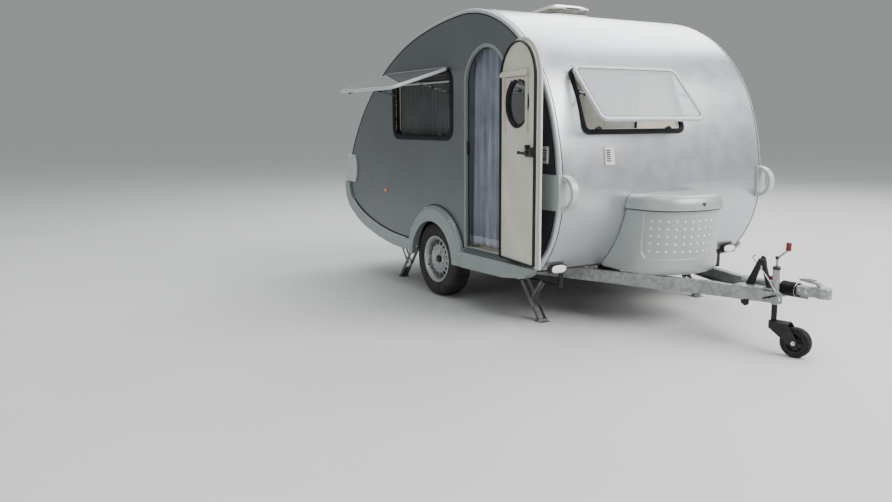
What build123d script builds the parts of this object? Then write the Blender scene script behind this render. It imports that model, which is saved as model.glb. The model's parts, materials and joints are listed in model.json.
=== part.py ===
from build123d import *
import math
import os

os.makedirs("parts", exist_ok=True)

# Small teardrop travel caravan, millimetres.
# X forward (towards the coupling), Y left, Z up, Z = 0 is the ground.
# Sizes below are measured from the road axle; XC shifts them so that X = 0 is
# the middle of the whole vehicle. The entrance door is on the right (-Y).

FRONT_X, REAR_X = 2945.0, -1651.0   # coupling's nose, rear grab handles
XC = (FRONT_X + REAR_X) / 2         # road axle to the middle of the length
HALF = 990.0          # outer face of each side wall
WALL = 30.0           # thickness of walls and roof
TRIM = 35.0           # width of the corner trim seen from the side

# Side outline, clockwise from under the floor behind the wheel, over the roof,
# down to the front lower edge: radius, sweep in degrees.
OUT_X, OUT_Z, OUT_H = -307.0, 330.0, 180.8
OUTLINE = (
    (2903.0, 13.0),    # 0 sill line behind the wheel
    (2903.0, 5.1),     # 1 lower rear
    (1054.0, 16.9),    # 2
    (269.0, 74.2),     # 3 rear nose
    (1622.0, 26.2),    # 4 rear wall
    (2209.0, 14.0),    # 5 rear wall, upper
    (2209.0, 16.75),   # 6 roof
    (3681.0, 10.5),    # 7 roof
    (1075.0, 38.0),    # 8 front of the roof
    (1075.0, 35.5),    # 9 front wall, upper
    (1802.0, 18.3),    # 10 front wall
    (737.0, 47.6),     # 11 front lower edge
)

FLOOR_Z0, FLOOR_Z1 = 400.0, 440.0

# wheels
WHEEL_X, WHEEL_R, WHEEL_W = 62.0, 301.0, 180.0
WHEEL_Y = 887.0       # wheel middle
RIM_R = 176.0         # rim barrel
ARCH_X, ARCH_Z, ARCH_R = 92.0, 303.0, 318.0      # opening of the wheel arch
FENDER_X, FENDER_Z, FENDER_R = 115.0, 322.0, 430.0

# doorway and door
DOOR_X, DOOR_W, DOOR_Z0, DOOR_SPRING = 815.0, 506.0, 467.0, 1684.0
HINGE_X, HINGE_Y, DOOR_OPEN = 1095.0, -1018.0, 171.0

# side windows: centre x, centre z, width, height
WIN_X, WIN_Z, WIN_W, WIN_H, WIN_R = -120.0, 1543.0, 930.0, 500.0, 80.0
FLAP_OPEN = 72.5

# drawbar
RAIL_T, RAIL_B = 5.0, 45.0
# plan of a rail's outer face, and its upper and lower line seen from the side
RAIL_PLAN = ((-950.0, 700.0), (750.0, 700.0), (2150.0, 195.0), (2715.0, 130.0))
RAIL_TOP = ((-960.0, 360.0), (750.0, 360.0), (2250.0, 385.0), (2730.0, 385.0))
RAIL_LOW = ((-960.0, 280.0), (750.0, 280.0), (2080.0, 290.0), (2730.0, 324.0))
FLANGE_END = 2560.0   # the flanges stop here

# jockey wheel
JOCKEY_X, JOCKEY_Y = 2640.0, -92.0
JOCKEY_TRAIL, JOCKEY_R, JOCKEY_W = 140.0, 92.0, 58.0

COUPLING_X = 2905.0


def side_plane(y):
    # looking along +Y: sketch x is X, sketch y is Z, extrusion goes to -Y
    return Plane(origin=(-XC, y, 0), x_dir=(1, 0, 0), z_dir=(0, -1, 0))


def plan_plane(z):
    return Plane(origin=(-XC, 0, z), x_dir=(1, 0, 0), z_dir=(0, 0, 1))


def cross_plane(x):
    # sketch x is Y, sketch y is Z, extrusion goes forward
    return Plane(origin=(x - XC, 0, 0), x_dir=(0, 1, 0), z_dir=(1, 0, 0))


def joint(i, inset=0.0):
    # start of outline arc i, moved inwards: x, z, heading in degrees
    x, z, h = OUT_X, OUT_Z, math.radians(OUT_H)
    for radius, sweep in OUTLINE[:i]:
        a = math.radians(sweep)
        cx, cz = x + radius * math.sin(h), z - radius * math.cos(h)
        h -= a
        x, z = cx - radius * math.sin(h), cz + radius * math.cos(h)
    return x + inset * math.sin(h), z - inset * math.cos(h), math.degrees(h)


def on_outline(i, part, inset=0.0):
    # point a given part (0 to 1) along arc i: x, z, heading
    x, z, h = joint(i)
    radius, sweep = OUTLINE[i]
    h, a = math.radians(h), math.radians(sweep * part)
    cx, cz = x + radius * math.sin(h), z - radius * math.cos(h)
    h -= a
    r = radius - inset
    return cx - r * math.sin(h), cz + r * math.cos(h), math.degrees(h)


def outline(first, last, inset=0.0):
    # draws outline arcs first..last-1 in the running BuildLine
    for i in range(first, last):
        x, z, h = joint(i, inset)
        radius, sweep = OUTLINE[i]
        JernArc((x, z), (math.cos(math.radians(h)), math.sin(math.radians(h))),
                radius - inset, -sweep)


def band(first, last, d0, d1):
    # closed ring piece between two insets of the outline
    outline(first, last, d0)
    outline(first, last, d1)
    Line(joint(first, d0)[:2], joint(first, d1)[:2])
    Line(joint(last, d0)[:2], joint(last, d1)[:2])


def skin_plane(i, part, inset=0.0, y=0.0):
    # plane on the outline: sketch x is Y, sketch y runs up the wall, normal outwards
    x, z, h = on_outline(i, part, inset)
    h = math.radians(h)
    nx, nz = -math.sin(h), math.cos(h)
    return Plane(origin=(x - XC, y, z), x_dir=(0, 1 if nx > 0 else -1, 0), z_dir=(nx, 0, nz))


def door_face(margin, z0):
    # arched door shape, drawn in the running BuildSketch on a side plane
    with Locations((DOOR_X, (z0 + DOOR_SPRING) / 2)):
        Rectangle(DOOR_W + 2 * margin, DOOR_SPRING - z0)
    with Locations((DOOR_X, DOOR_SPRING)):
        Circle(DOOR_W / 2 + margin)


def save(item, name):
    item.part.label = name
    export_step(item.part, "parts/" + name + ".step")


SIDES = (("right", -1), ("left", 1))

# ------------------------------------------------------------------ cabin shell
for side, s in SIDES:
    outer = s * HALF
    with BuildPart() as side_wall:
        with BuildSketch(side_plane(outer if s > 0 else outer + WALL)):
            with BuildLine():
                outline(0, len(OUTLINE), TRIM)
                Line(joint(0, TRIM)[:2], joint(len(OUTLINE), TRIM)[:2])
            make_face()
        extrude(amount=WALL)
        split(bisect_by=Plane.XY.offset(FLOOR_Z0), keep=Keep.TOP)
        with BuildSketch(side_plane(outer + (10 if s > 0 else WALL + 10))):
            with Locations((WIN_X, WIN_Z)):
                RectangleRounded(WIN_W, WIN_H, WIN_R)
            with Locations((ARCH_X, ARCH_Z)):
                Circle(ARCH_R + 25)
            if s < 0:
                door_face(10, DOOR_Z0 - 10)
        extrude(amount=WALL + 20, mode=Mode.SUBTRACT)
    save(side_wall, "side_wall_" + side)

# panels that run across, between the side walls: name, first arc, last arc
PANELS = (("rear_lower_panel", 1, 4), ("rear_panel", 4, 6), ("roof_panel", 6, 9), ("front_panel", 9, 12))
INNER = HALF - WALL
FWIN_Y, FWIN_W, FWIN_H = -292.0, 925.0, 455.0
FWIN_AT = (9, 0.972)
RWIN_W, RWIN_H = 1000.0, 400.0
RWIN_AT = (4, 0.85)
HATCH_X, HATCH_W = 380.0, 380.0
for name, first, last in PANELS:
    with BuildPart() as panel:
        with BuildSketch(side_plane(INNER)):
            with BuildLine():
                band(first, last, 0, WALL)
            make_face()
        extrude(amount=2 * INNER)
        if name == "front_panel":
            with BuildSketch(skin_plane(*FWIN_AT, inset=-60, y=FWIN_Y)):
                RectangleRounded(FWIN_W, FWIN_H, 50)
            extrude(amount=-160, mode=Mode.SUBTRACT)
        if name == "rear_panel":
            with BuildSketch(skin_plane(*RWIN_AT, inset=-60)):
                RectangleRounded(RWIN_W, RWIN_H, 50)
            extrude(amount=-160, mode=Mode.SUBTRACT)
        if name == "roof_panel":
            with BuildSketch(plan_plane(2100)):
                with Locations((HATCH_X, 0)):
                    RectangleRounded(HATCH_W - 60, HATCH_W - 60, 40)
            extrude(amount=250, mode=Mode.SUBTRACT)
    save(panel, name)

# floor, cut for the wheels
with BuildPart() as floor_panel:
    with BuildSketch(plan_plane(FLOOR_Z0)):
        with Locations(((-945 + 1426) / 2, 0)):
            Rectangle(1426 + 945, 2 * INNER)
        for s in (-1, 1):
            with Locations((ARCH_X, s * 860)):
                Rectangle(2 * ARCH_R + 60, 320, mode=Mode.SUBTRACT)
    extrude(amount=FLOOR_Z1 - FLOOR_Z0)
save(floor_panel, "floor_panel")

# corner trims: rounded edge strips from the rear nose over the roof to the front foot
with BuildPart() as edge_trims:
    for s in (-1, 1):
        y0 = s * INNER
        with BuildSketch(side_plane(y0 if s < 0 else y0 + WALL)):
            with BuildLine():
                band(4, 12, 0, TRIM)
            make_face()
        extrude(amount=WALL)
    rim = edge_trims.edges().filter_by(GeomType.CIRCLE).filter_by(
        lambda e: abs(abs(e.center().Y) - HALF) < 0.1)
    rim = rim.filter_by(lambda e: any(abs(e.radius - r) < 0.1 for r, _ in OUTLINE))
    fillet(rim, radius=24)
save(edge_trims, "edge_trims")

# lower skirts behind the wheels and sills in front of them
SKIRT_H, SKIRT_OUT = 98.0, 18.0
SILL_X0, SILL_OUT, SILL_TOP = 545.0, 45.0, 462.0
with BuildPart() as lower_skirts:
    for s in (-1, 1):
        # outer band over the wall's lower edge, and the return under it
        for y_a, y_b, d1 in ((HALF, HALF + SKIRT_OUT, SKIRT_H), (INNER, HALF + 1, TRIM - 0.5)):
            with BuildSketch(side_plane(max(s * y_a, s * y_b))):
                with BuildLine():
                    band(0, 4, 0, d1)
                make_face()
            extrude(amount=y_b - y_a)
        # clear of the rear grab handle's plate
        with BuildSketch(side_plane(s * HALF if s < 0 else s * (HALF + SKIRT_OUT))):
            with Locations((-1500, 843 + 100)):
                Rectangle(400, 200)
        extrude(amount=SKIRT_OUT, mode=Mode.SUBTRACT)
        # sill under the door
        xe, ze, _ = joint(12)
        xa, za, _ = on_outline(11, 0.86)
        with BuildSketch(side_plane(s * HALF if s < 0 else s * (HALF + SILL_OUT))):
            with BuildLine():
                Polyline((SILL_X0, SILL_TOP), (SILL_X0, 312), (1100, 320), (1342, 350),
                         (xe - 8, ze - 8), (xa - 12, SILL_TOP), (SILL_X0, SILL_TOP))
            make_face()
        extrude(amount=SILL_OUT)
        with BuildSketch(side_plane(s * INNER if s < 0 else s * HALF)):
            with BuildLine():
                Polyline((SILL_X0, FLOOR_Z0 - 0.5), (SILL_X0, 312), (1100, 320), (1342, 350),
                         (1395, 382), (1395, FLOOR_Z0 - 0.5), (SILL_X0, FLOOR_Z0 - 0.5))
            make_face()
        extrude(amount=WALL)
    top = lower_skirts.edges().filter_by(Axis.X).filter_by(
        lambda e: abs(e.center().Z - SILL_TOP) < 1 and abs(e.center().Y) > HALF + SILL_OUT - 1)
    chamfer(top, length=38, length2=34)
save(lower_skirts, "lower_skirts")

# wheel arch flares
with BuildPart() as fenders:
    for s in (-1, 1):
        with BuildSketch(side_plane(s * HALF if s < 0 else s * (HALF + 42))):
            with Locations((FENDER_X, FENDER_Z)):
                Circle(FENDER_R)
            with Locations((ARCH_X, ARCH_Z)):
                Circle(ARCH_R, mode=Mode.SUBTRACT)
            with Locations((FENDER_X, 312 - 500)):
                Rectangle(1200, 1000, mode=Mode.SUBTRACT)
        extrude(amount=42)
    rim = fenders.edges().filter_by(GeomType.CIRCLE).filter_by(
        lambda e: abs(abs(e.center().Y) - HALF - 42) < 0.1 and abs(e.radius - FENDER_R) < 0.1)
    fillet(rim, radius=34)
    # room for the skirt behind and the sill in front
    for s in (-1, 1):
        with BuildSketch(side_plane(s * HALF if s < 0 else s * (HALF + 60))):
            with BuildLine():
                band(0, 1, -30, SKIRT_H + 1)
            make_face()
        extrude(amount=60, mode=Mode.SUBTRACT)
        with BuildSketch(side_plane(s * HALF if s < 0 else s * (HALF + 60))):
            with Locations((SILL_X0 + 99, 380)):
                Rectangle(200, 240)
        extrude(amount=60, mode=Mode.SUBTRACT)
save(fenders, "fenders")

# inner wheel boxes, closed half drums over each wheel
with BuildPart() as wheel_boxes:
    for s in (-1, 1):
        deep = 240.0
        with BuildSketch(side_plane(s * INNER if s > 0 else s * (INNER - deep))):
            with Locations((ARCH_X, ARCH_Z)):
                Circle(ARCH_R + 25)
            with Locations((ARCH_X, FLOOR_Z0 / 2 - 100)):
                Rectangle(1200, FLOOR_Z0 + 200, mode=Mode.SUBTRACT)
        extrude(amount=deep)
        with BuildSketch(side_plane(s * (INNER + 5) if s > 0 else s * (INNER - deep + 6))):
            with Locations((ARCH_X, ARCH_Z)):
                Circle(ARCH_R + 20)
        extrude(amount=deep - 6 + 5, mode=Mode.SUBTRACT)
save(wheel_boxes, "wheel_boxes")

# ------------------------------------------------------------------ doorway and door
with BuildPart() as door_frame:
    with BuildSketch(side_plane(-HALF + 35)):
        door_face(9.8, DOOR_Z0 - 9.8)
        with Locations((DOOR_X, (DOOR_Z0 + DOOR_SPRING) / 2)):
            Rectangle(DOOR_W, DOOR_SPRING - DOOR_Z0, mode=Mode.SUBTRACT)
        with Locations((DOOR_X, DOOR_SPRING)):
            Circle(DOOR_W / 2, mode=Mode.SUBTRACT)
    extrude(amount=35)
    with BuildSketch(side_plane(-HALF)):
        door_face(24, DOOR_Z0 - 4)
        with Locations((DOOR_X, (DOOR_Z0 + DOOR_SPRING) / 2)):
            Rectangle(DOOR_W, DOOR_SPRING - DOOR_Z0, mode=Mode.SUBTRACT)
        with Locations((DOOR_X, DOOR_SPRING)):
            Circle(DOOR_W / 2, mode=Mode.SUBTRACT)
    extrude(amount=3)
save(door_frame, "door_frame")

# The open door is drawn in its own plane: sketch x runs from the hinge axis to the
# free edge, sketch y is up, the plane's normal is the door's inner face direction.
_a = math.radians(DOOR_OPEN)
DOOR_U = (-math.cos(_a), -math.sin(_a))
DOOR_N = (-math.sin(_a), math.cos(_a))


def door_plane(w):
    return Plane(origin=(HINGE_X - XC + w * DOOR_N[0], HINGE_Y + w * DOOR_N[1], 0),
                 x_dir=(DOOR_U[0], DOOR_U[1], 0), z_dir=(DOOR_N[0], DOOR_N[1], 0))


# slabs of the leaf: first and last u, lower edge, w of the two faces
LEAF = ((13.0, 551.0, 468.0, 6.0, 19.0), (33.0, 527.0, 476.0, 19.0, 43.0))
LEAF_W = LEAF[1][4]
PORT_U, PORT_Z, PORT_R = 272.0, 1535.0, 152.0


with BuildPart() as door_leaf:
    for u0, u1, z0, w0, w1 in LEAF:
        with BuildSketch(door_plane(w0)):
            with Locations(((u0 + u1) / 2, (z0 + DOOR_SPRING) / 2)):
                Rectangle(u1 - u0, DOOR_SPRING - z0)
            with Locations(((u0 + u1) / 2, DOOR_SPRING)):
                Circle((u1 - u0) / 2)
            with Locations((PORT_U, PORT_Z)):
                Circle(PORT_R, mode=Mode.SUBTRACT)
        extrude(amount=w1 - w0)
    # hinge barrels and the straps that carry them
    for z in (700, 1500):
        with BuildSketch(door_plane(-3)):
            with Locations((8, z + 30)):
                Rectangle(12, 60)
        extrude(amount=22)
        with BuildSketch(plan_plane(z)):
            with Locations((HINGE_X, HINGE_Y)):
                Circle(7)
        extrude(amount=60)
        with BuildSketch(plan_plane(z)):
            with Locations((HINGE_X, HINGE_Y)):
                Circle(3.05)
        extrude(amount=60, mode=Mode.SUBTRACT)
save(door_leaf, "door_leaf")

with BuildPart() as door_window:
    with BuildSketch(door_plane(20)):
        with Locations((PORT_U, PORT_Z)):
            Circle(PORT_R)
    extrude(amount=8)
save(door_window, "door_window")

# roller blind on the door: head box and two side rails; u, z, width, height, depth
BLIND = ((252.0, 1722.0, 372.0, 36.0, 30.0), (97.0, 1525.0, 24.0, 358.0, 14.0), (407.0, 1525.0, 40.0, 358.0, 14.0))
with BuildPart() as door_blind:
    for u, z, w, h, d in BLIND:
        with BuildSketch(door_plane(LEAF_W)):
            with Locations((u, z)):
                RectangleRounded(w, h, 6)
        extrude(amount=d)
save(door_blind, "door_blind")

# latch: u, z, width, height, first w, last w
LATCH = ((464.0, 1217.0, 116.0, 66.0, LEAF_W, LEAF_W + 16), (392.0, 1211.0, 116.0, 22.0, LEAF_W + 16, LEAF_W + 30),
         (430.0, 1211.0, 30.0, 30.0, LEAF_W + 4, LEAF_W + 20), (442.0, 1246.0, 24.0, 24.0, LEAF_W + 4, LEAF_W + 34),
         (478.0, 1217.0, 110.0, 90.0, -8.0, 6.0))
with BuildPart() as door_latch:
    for u, z, w, h, w0, w1 in LATCH:
        with BuildSketch(door_plane(w0)):
            with Locations((u, z)):
                RectangleRounded(w, h, 9)
        extrude(amount=w1 - w0)
save(door_latch, "door_latch")

# hinge brackets on the wall, with the pins
with BuildPart() as door_hinges:
    for z in (700, 1500):
        with BuildSketch(side_plane(-HALF)):
            with Locations((HINGE_X + 16, z + 30)):
                RectangleRounded(28, 140, 6)
        extrude(amount=4)
        with BuildSketch(plan_plane(z - 34)):
            with Locations((HINGE_X, HINGE_Y)):
                Circle(3)
        extrude(amount=128)
        for dz in (-35, 65):
            with BuildSketch(plan_plane(z + dz)):
                with Locations((HINGE_X, HINGE_Y)):
                    Circle(7)
                with Locations((HINGE_X + 8.5, (HINGE_Y - HALF) / 2)):
                    Rectangle(17, -HINGE_Y - HALF)
            extrude(amount=30)
save(door_hinges, "door_hinges")

# ------------------------------------------------------------------ windows
PANE_T = 22.0
FRONT_OPEN = 20.0


# one row a pane: point on the hinge line, unit vectors along the pane's width,
# down the closed pane and outwards, then width, height and opening angle
fx, fz, _ = on_outline(*FWIN_AT, inset=-15)
rx, rz, _ = on_outline(*RWIN_AT, inset=-15)


def pane_row(x, y, z, wide, down, out, w, h, turn, lift=14.0):
    wide, down, out = Vector(*wide), Vector(*down), Vector(*out)
    top = Vector(x - XC, y, z) - down * (h / 2 + lift)
    a = math.radians(turn)
    d = down * math.cos(a) + out * math.sin(a)
    n = out * math.cos(a) - down * math.sin(a)
    return top, wide, d, n, w, h


def skin_vectors(at):
    h = math.radians(on_outline(*at)[2])
    return (math.cos(h), 0, math.sin(h)), (-math.sin(h), 0, math.cos(h))


f_dir, f_out = skin_vectors(FWIN_AT)
r_dir, r_out = skin_vectors(RWIN_AT)
r_down = (-r_dir[0], 0, -r_dir[2])
PANES = (
    pane_row(WIN_X, -HALF - 14, WIN_Z, (1, 0, 0), (0, 0, -1), (0, -1, 0), WIN_W, WIN_H, FLAP_OPEN),
    pane_row(WIN_X, HALF + 14, WIN_Z, (1, 0, 0), (0, 0, -1), (0, 1, 0), WIN_W, WIN_H, FLAP_OPEN),
    pane_row(fx, FWIN_Y, fz, (0, 1, 0), f_dir, f_out, FWIN_W, FWIN_H, FRONT_OPEN, 0.0),
    pane_row(rx, 0, rz, (0, 1, 0), r_down, r_out, RWIN_W, RWIN_H, 0.0),
)
with BuildPart() as window_panes:
    for top, wide, d, n, w, h in PANES:
        with BuildSketch(Plane(origin=top + d * (h / 2 + 14), x_dir=wide, z_dir=n)):
            RectangleRounded(w + 24, h + 24, 60)
        extrude(amount=PANE_T)
save(window_panes, "window_panes")

with BuildPart() as window_frames:
    for s in (-1, 1):
        with BuildSketch(side_plane(s * HALF if s < 0 else s * HALF + 8)):
            with Locations((WIN_X, WIN_Z)):
                RectangleRounded(WIN_W + 50, WIN_H + 50, WIN_R + 20)
                RectangleRounded(WIN_W - 24, WIN_H - 24, WIN_R - 12, mode=Mode.SUBTRACT)
        extrude(amount=8)
        with BuildSketch(side_plane(s * INNER if s < 0 else s * HALF)):
            with Locations((WIN_X, WIN_Z)):
                RectangleRounded(WIN_W - 0.4, WIN_H - 0.4, WIN_R)
                RectangleRounded(WIN_W - 24, WIN_H - 24, WIN_R - 12, mode=Mode.SUBTRACT)
        extrude(amount=WALL)
    for at, y, w, h in ((FWIN_AT, FWIN_Y, FWIN_W, FWIN_H), (RWIN_AT, 0.0, RWIN_W, RWIN_H)):
        with BuildSketch(skin_plane(*at, inset=-3, y=y)):
            RectangleRounded(w - 1, h - 1, 50)
            RectangleRounded(w - 44, h - 44, 30, mode=Mode.SUBTRACT)
        extrude(amount=-45)
save(window_frames, "window_frames")

# ------------------------------------------------------------------ roof hatch
_, ROOF_Z, _ = on_outline(7, 0.9)
with BuildPart() as hatch_frame:
    # collar on the roof, then the lining through it
    with BuildSketch(plan_plane(2180)):
        with Locations((HATCH_X, 0)):
            RectangleRounded(HATCH_W, HATCH_W, 60)
            RectangleRounded(HATCH_W - 90, HATCH_W - 90, 25, mode=Mode.SUBTRACT)
    extrude(amount=70)
    with BuildSketch(side_plane(400)):
        with BuildLine():
            outline(6, 9, -0.5)
            (xa, za, _), (xb, zb, _) = joint(6, -0.5), joint(9, -0.5)
            Polyline((xa, za), (xa, 1500), (xb, 1500), (xb, zb))
        make_face()
    extrude(amount=800, mode=Mode.SUBTRACT)
    with BuildSketch(plan_plane(2150)):
        with Locations((HATCH_X, 0)):
            RectangleRounded(HATCH_W - 61, HATCH_W - 61, 40)
            RectangleRounded(HATCH_W - 90, HATCH_W - 90, 25, mode=Mode.SUBTRACT)
    extrude(amount=100)
save(hatch_frame, "roof_hatch_frame")

# the lid stands a little open: its own frame starts on the hinge line at its rear edge
HATCH_TILT, HATCH_HINGE = 4.5, (HATCH_X - HATCH_W / 2 - 10, 2257.0)
_h = math.radians(HATCH_TILT)


def hatch_plane(up):
    x, z = HATCH_HINGE
    return Plane(origin=(x - XC - up * math.sin(_h), 0, z + up * math.cos(_h)),
                 x_dir=(math.cos(_h), 0, math.sin(_h)), z_dir=(-math.sin(_h), 0, math.cos(_h)))


with BuildPart() as hatch_lid:
    for low, high, mode in (((0, 20, 70), (14, 20, 70), Mode.ADD), ((14, 20, 70), (38, -70, 55), Mode.ADD),
                            ((-1, 8, 64), (11, 8, 64), Mode.SUBTRACT), ((11, 8, 64), (33, -82, 49), Mode.SUBTRACT)):
        for up, w, r in (low, high):
            with BuildSketch(hatch_plane(up)):
                with Locations((HATCH_W / 2 + 10, 0)):
                    RectangleRounded(HATCH_W + w, HATCH_W + w, r)
        loft(mode=mode)
save(hatch_lid, "roof_hatch_lid")

# ------------------------------------------------------------------ front locker box
BOX_Z0, BOX_SEAM, BOX_TOP = 388.0, 822.0, 928.0
BOX_Y = -65.0
BOX_T = 5.0


def box_plan(half, front, cut=0.0):
    # D-shaped plan of the locker in the running BuildLine: straight sides, bowed front
    y0, y1, ym = BOX_Y - half + cut, BOX_Y + half - cut, (half - cut) * 0.523
    Polyline((front - 290, y0), (1380, y0), (1380, y1), (front - 290, y1))
    ThreePointArc((front - 290, y0), (front - 140 - cut * 0.6, BOX_Y - (half - cut) * 0.87), (front - 38 - cut, BOX_Y - ym))
    ThreePointArc((front - 290, y1), (front - 140 - cut * 0.6, BOX_Y + (half - cut) * 0.87), (front - 38 - cut, BOX_Y + ym))
    ThreePointArc((front - 38 - cut, BOX_Y - ym), (front - cut, BOX_Y), (front - 38 - cut, BOX_Y + ym))


def body_clear(gap):
    # outline of the body grown by a gap, in the running BuildLine
    outline(8, 12, -gap)
    x0, z0 = joint(8, -gap)[:2]
    x1, z1 = joint(12, -gap)[:2]
    Polyline((x0, z0), (x0, z1 - 60), (x1, z1 - 60), (x1, z1))


# name, gap to the body, rows of (height, half width, front, inset)
LOCKER = (
    ("outer", 4.0, ((BOX_Z0, 365, 2020, 0), (BOX_SEAM, 338, 2056, 0))),
    ("hollow", 9.0, ((BOX_Z0 + BOX_T, 365, 2020, 5), (BOX_SEAM + 1, 338, 2056, 5))),
    ("lid", 12.0, ((BOX_SEAM + 6, 350, 2069, 0), (BOX_TOP - 25, 343, 2060, 0), (BOX_TOP, 300, 2008, 0))),
    ("lid_hollow", 18.0, ((BOX_SEAM + 5, 350, 2069, 5), (BOX_TOP - 30, 343, 2060, 6))),
)
locker = {}
for name, gap, rows in LOCKER:
    with BuildPart() as solid:
        for low, high in zip(rows, rows[1:]):
            for z, half, front, cut in (low, high):
                with BuildSketch(plan_plane(z)):
                    with BuildLine():
                        box_plan(half, front, cut)
                    make_face()
            loft()
        with BuildSketch(side_plane(700)):
            with BuildLine():
                body_clear(gap)
            make_face()
        extrude(amount=1400, mode=Mode.SUBTRACT)
    locker[name] = solid.part

with BuildPart() as front_box:
    add(locker["outer"])
    add(locker["hollow"], mode=Mode.SUBTRACT)
save(front_box, "front_box")

with BuildPart() as front_box_lid:
    add(locker["lid"])
    add(locker["lid_hollow"], mode=Mode.SUBTRACT)
save(front_box_lid, "front_box_lid")

# ------------------------------------------------------------------ chassis
def rail_strip(s, t, last):
    # plan outline of a strip t wide inside the rail's outer face, up to x = last
    pts = [p for p in RAIL_PLAN if p[0] < last]
    (xa, ya), (xb, yb) = pts[-1], RAIL_PLAN[len(pts)]
    pts.append((last, ya + (yb - ya) * (last - xa) / (xb - xa)))
    inner = [(x - 0.18 * t * (k > 0) * (k < len(pts) - 1), y - t * 1.04) for k, (x, y) in enumerate(pts)]
    Polyline(*((x, s * y) for x, y in pts + inner[::-1]), close=True)


def rail_side(low, high, a, b):
    # side view between two lines: heights a above the first and b above the second
    Polyline(*[(x, z + a) for x, z in low], *[(x, z + b) for x, z in high[::-1]], close=True)


AXLE_X, AXLE_Z, SPINDLE_R = WHEEL_X + 150.0, 281.0, 20.0
for side, s in SIDES:
    # strip width, end, lower line, upper line, offsets of the two lines
    pieces = ((RAIL_T, 2714.0, RAIL_LOW, RAIL_TOP, 0, 0), (RAIL_B, FLANGE_END, RAIL_LOW, RAIL_LOW, 0, RAIL_T),
              (RAIL_B, FLANGE_END, RAIL_TOP, RAIL_TOP, -RAIL_T, 0))
    solids = []
    for t, last, low, high, a, b in pieces:
        with BuildPart() as piece:
            with BuildSketch(plan_plane(250)):
                with BuildLine():
                    rail_strip(s, t, last)
                make_face()
            extrude(amount=160)
            with BuildSketch(side_plane(800)):
                with BuildLine():
                    rail_side(low, high, a, b)
                make_face()
            extrude(amount=1600, mode=Mode.INTERSECT)
        solids.append(piece.part)
    with BuildPart() as rail:
        for solid in solids:
            add(solid)
        # notch for the axle
        with BuildSketch(side_plane(800)):
            with Locations((AXLE_X, AXLE_Z)):
                RegularPolygon(45.6, 6)
            with Locations((AXLE_X, AXLE_Z - 40)):
                Rectangle(70, 80)
        extrude(amount=1600, mode=Mode.SUBTRACT)
    save(rail, "chassis_rail_" + side)

# cross members between the rails and floor bearers on top of them: x, half width, z0, z1
BEARERS = ((-900, RAIL_PLAN[0][1] - RAIL_T * 1.04, 286, 354), (-320, RAIL_PLAN[0][1] - RAIL_T * 1.04, 286, 354),
           (560, RAIL_PLAN[0][1] - RAIL_T * 1.04, 286, 354), (-920, 725, 360, FLOOR_Z0), (-500, 725, 360, FLOOR_Z0),
           (-80, 640, 360, FLOOR_Z0), (340, 640, 360, FLOOR_Z0), (700, 725, 360, FLOOR_Z0))
with BuildPart() as cross_members:
    for x, half, z0, z1 in BEARERS:
        with BuildSketch(plan_plane(z0)):
            with Locations((x, 0)):
                Rectangle(45, 2 * half)
        extrude(amount=z1 - z0)
    # packers between the rising rails and the floor's front part
    for x, y in ((1120, 549), (1390, 452)):
        z = 360 + (x - 22.5 - 750) * 25 / 1500
        for s in (-1, 1):
            with BuildSketch(side_plane(s * y + 30)):
                with BuildLine():
                    Polyline((x - 22, z + 0.4), (x + 22, z + 1.1), (x + 22, FLOOR_Z0), (x - 22, FLOOR_Z0), close=True)
                make_face()
            extrude(amount=60)
save(cross_members, "cross_members")

# rubber-sprung axle: hexagonal beam, trailing arms, back plates and spindles
with BuildPart() as axle_beam:
    with BuildSketch(side_plane(742)):
        with Locations((AXLE_X, AXLE_Z)):
            RegularPolygon(45, 6)
    extrude(amount=1484)
save(axle_beam, "axle_beam")

with BuildPart() as swing_arms:
    for s in (-1, 1):
        # y of the inner face, y of the outer face, shape
        for y_a, y_b, what in ((742.0, 782.0, "arm"), (782.0, 790.0, "plate"), (790.0, 925.0, "spindle")):
            with BuildSketch(side_plane(max(s * y_a, s * y_b))):
                if what == "arm":
                    with BuildLine():
                        Polyline((WHEEL_X - 38, WHEEL_R + 38), (WHEEL_X - 38, WHEEL_R - 38), (AXLE_X + 38, AXLE_Z - 38),
                                 (AXLE_X + 38, AXLE_Z + 36), (WHEEL_X - 38, WHEEL_R + 38))
                    make_face()
                else:
                    with Locations((WHEEL_X, WHEEL_R)):
                        Circle(122 if what == "plate" else SPINDLE_R)
            extrude(amount=y_b - y_a)
save(swing_arms, "swing_arms")

# ------------------------------------------------------------------ road wheels
# sections as rows of (distance outwards from the wheel's middle, radius)
TYRE_ROWS = ((-70, 178), (-70, 193), (-86, 222), (-90, 245), (-82, 282), (-62, 301),
             (62, 301), (82, 282), (90, 245), (86, 222), (70, 193), (70, 178))
RIM_ROWS = ((-78, 192), (-78, 176), (-60, 168), (10, 150), (60, 160), (78, 178), (78, 192), (72, 192),
            (72, 177), (69, 176.5), (-69, 176.5), (-72, 177), (-72, 192))
DISC_ROWS = ((-90, 20.05), (-90, 112), (-20, 112), (-20, 70), (22, 70), (40, 118), (14, 152), (24, 153),
             (52, 120), (34, 62), (34, 45), (46, 45), (46, 20.05))
for side, s in SIDES:
    wheel_axis = Axis(origin=(WHEEL_X - XC, 0, WHEEL_R), direction=(0, 1, 0))
    with BuildPart() as tyre:
        with BuildSketch(cross_plane(WHEEL_X)):
            with BuildLine():
                Polyline(*((s * (WHEEL_Y + v), WHEEL_R + r) for v, r in TYRE_ROWS), close=True)
            make_face()
        revolve(axis=wheel_axis)
    save(tyre, "tyre_" + side)
    with BuildPart() as rim:
        for rows in (RIM_ROWS, DISC_ROWS):
            with BuildSketch(cross_plane(WHEEL_X)):
                with BuildLine():
                    Polyline(*((s * (WHEEL_Y + v), WHEEL_R + r) for v, r in rows), close=True)
                make_face()
            revolve(axis=wheel_axis)
    save(rim, "rim_" + side)

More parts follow.
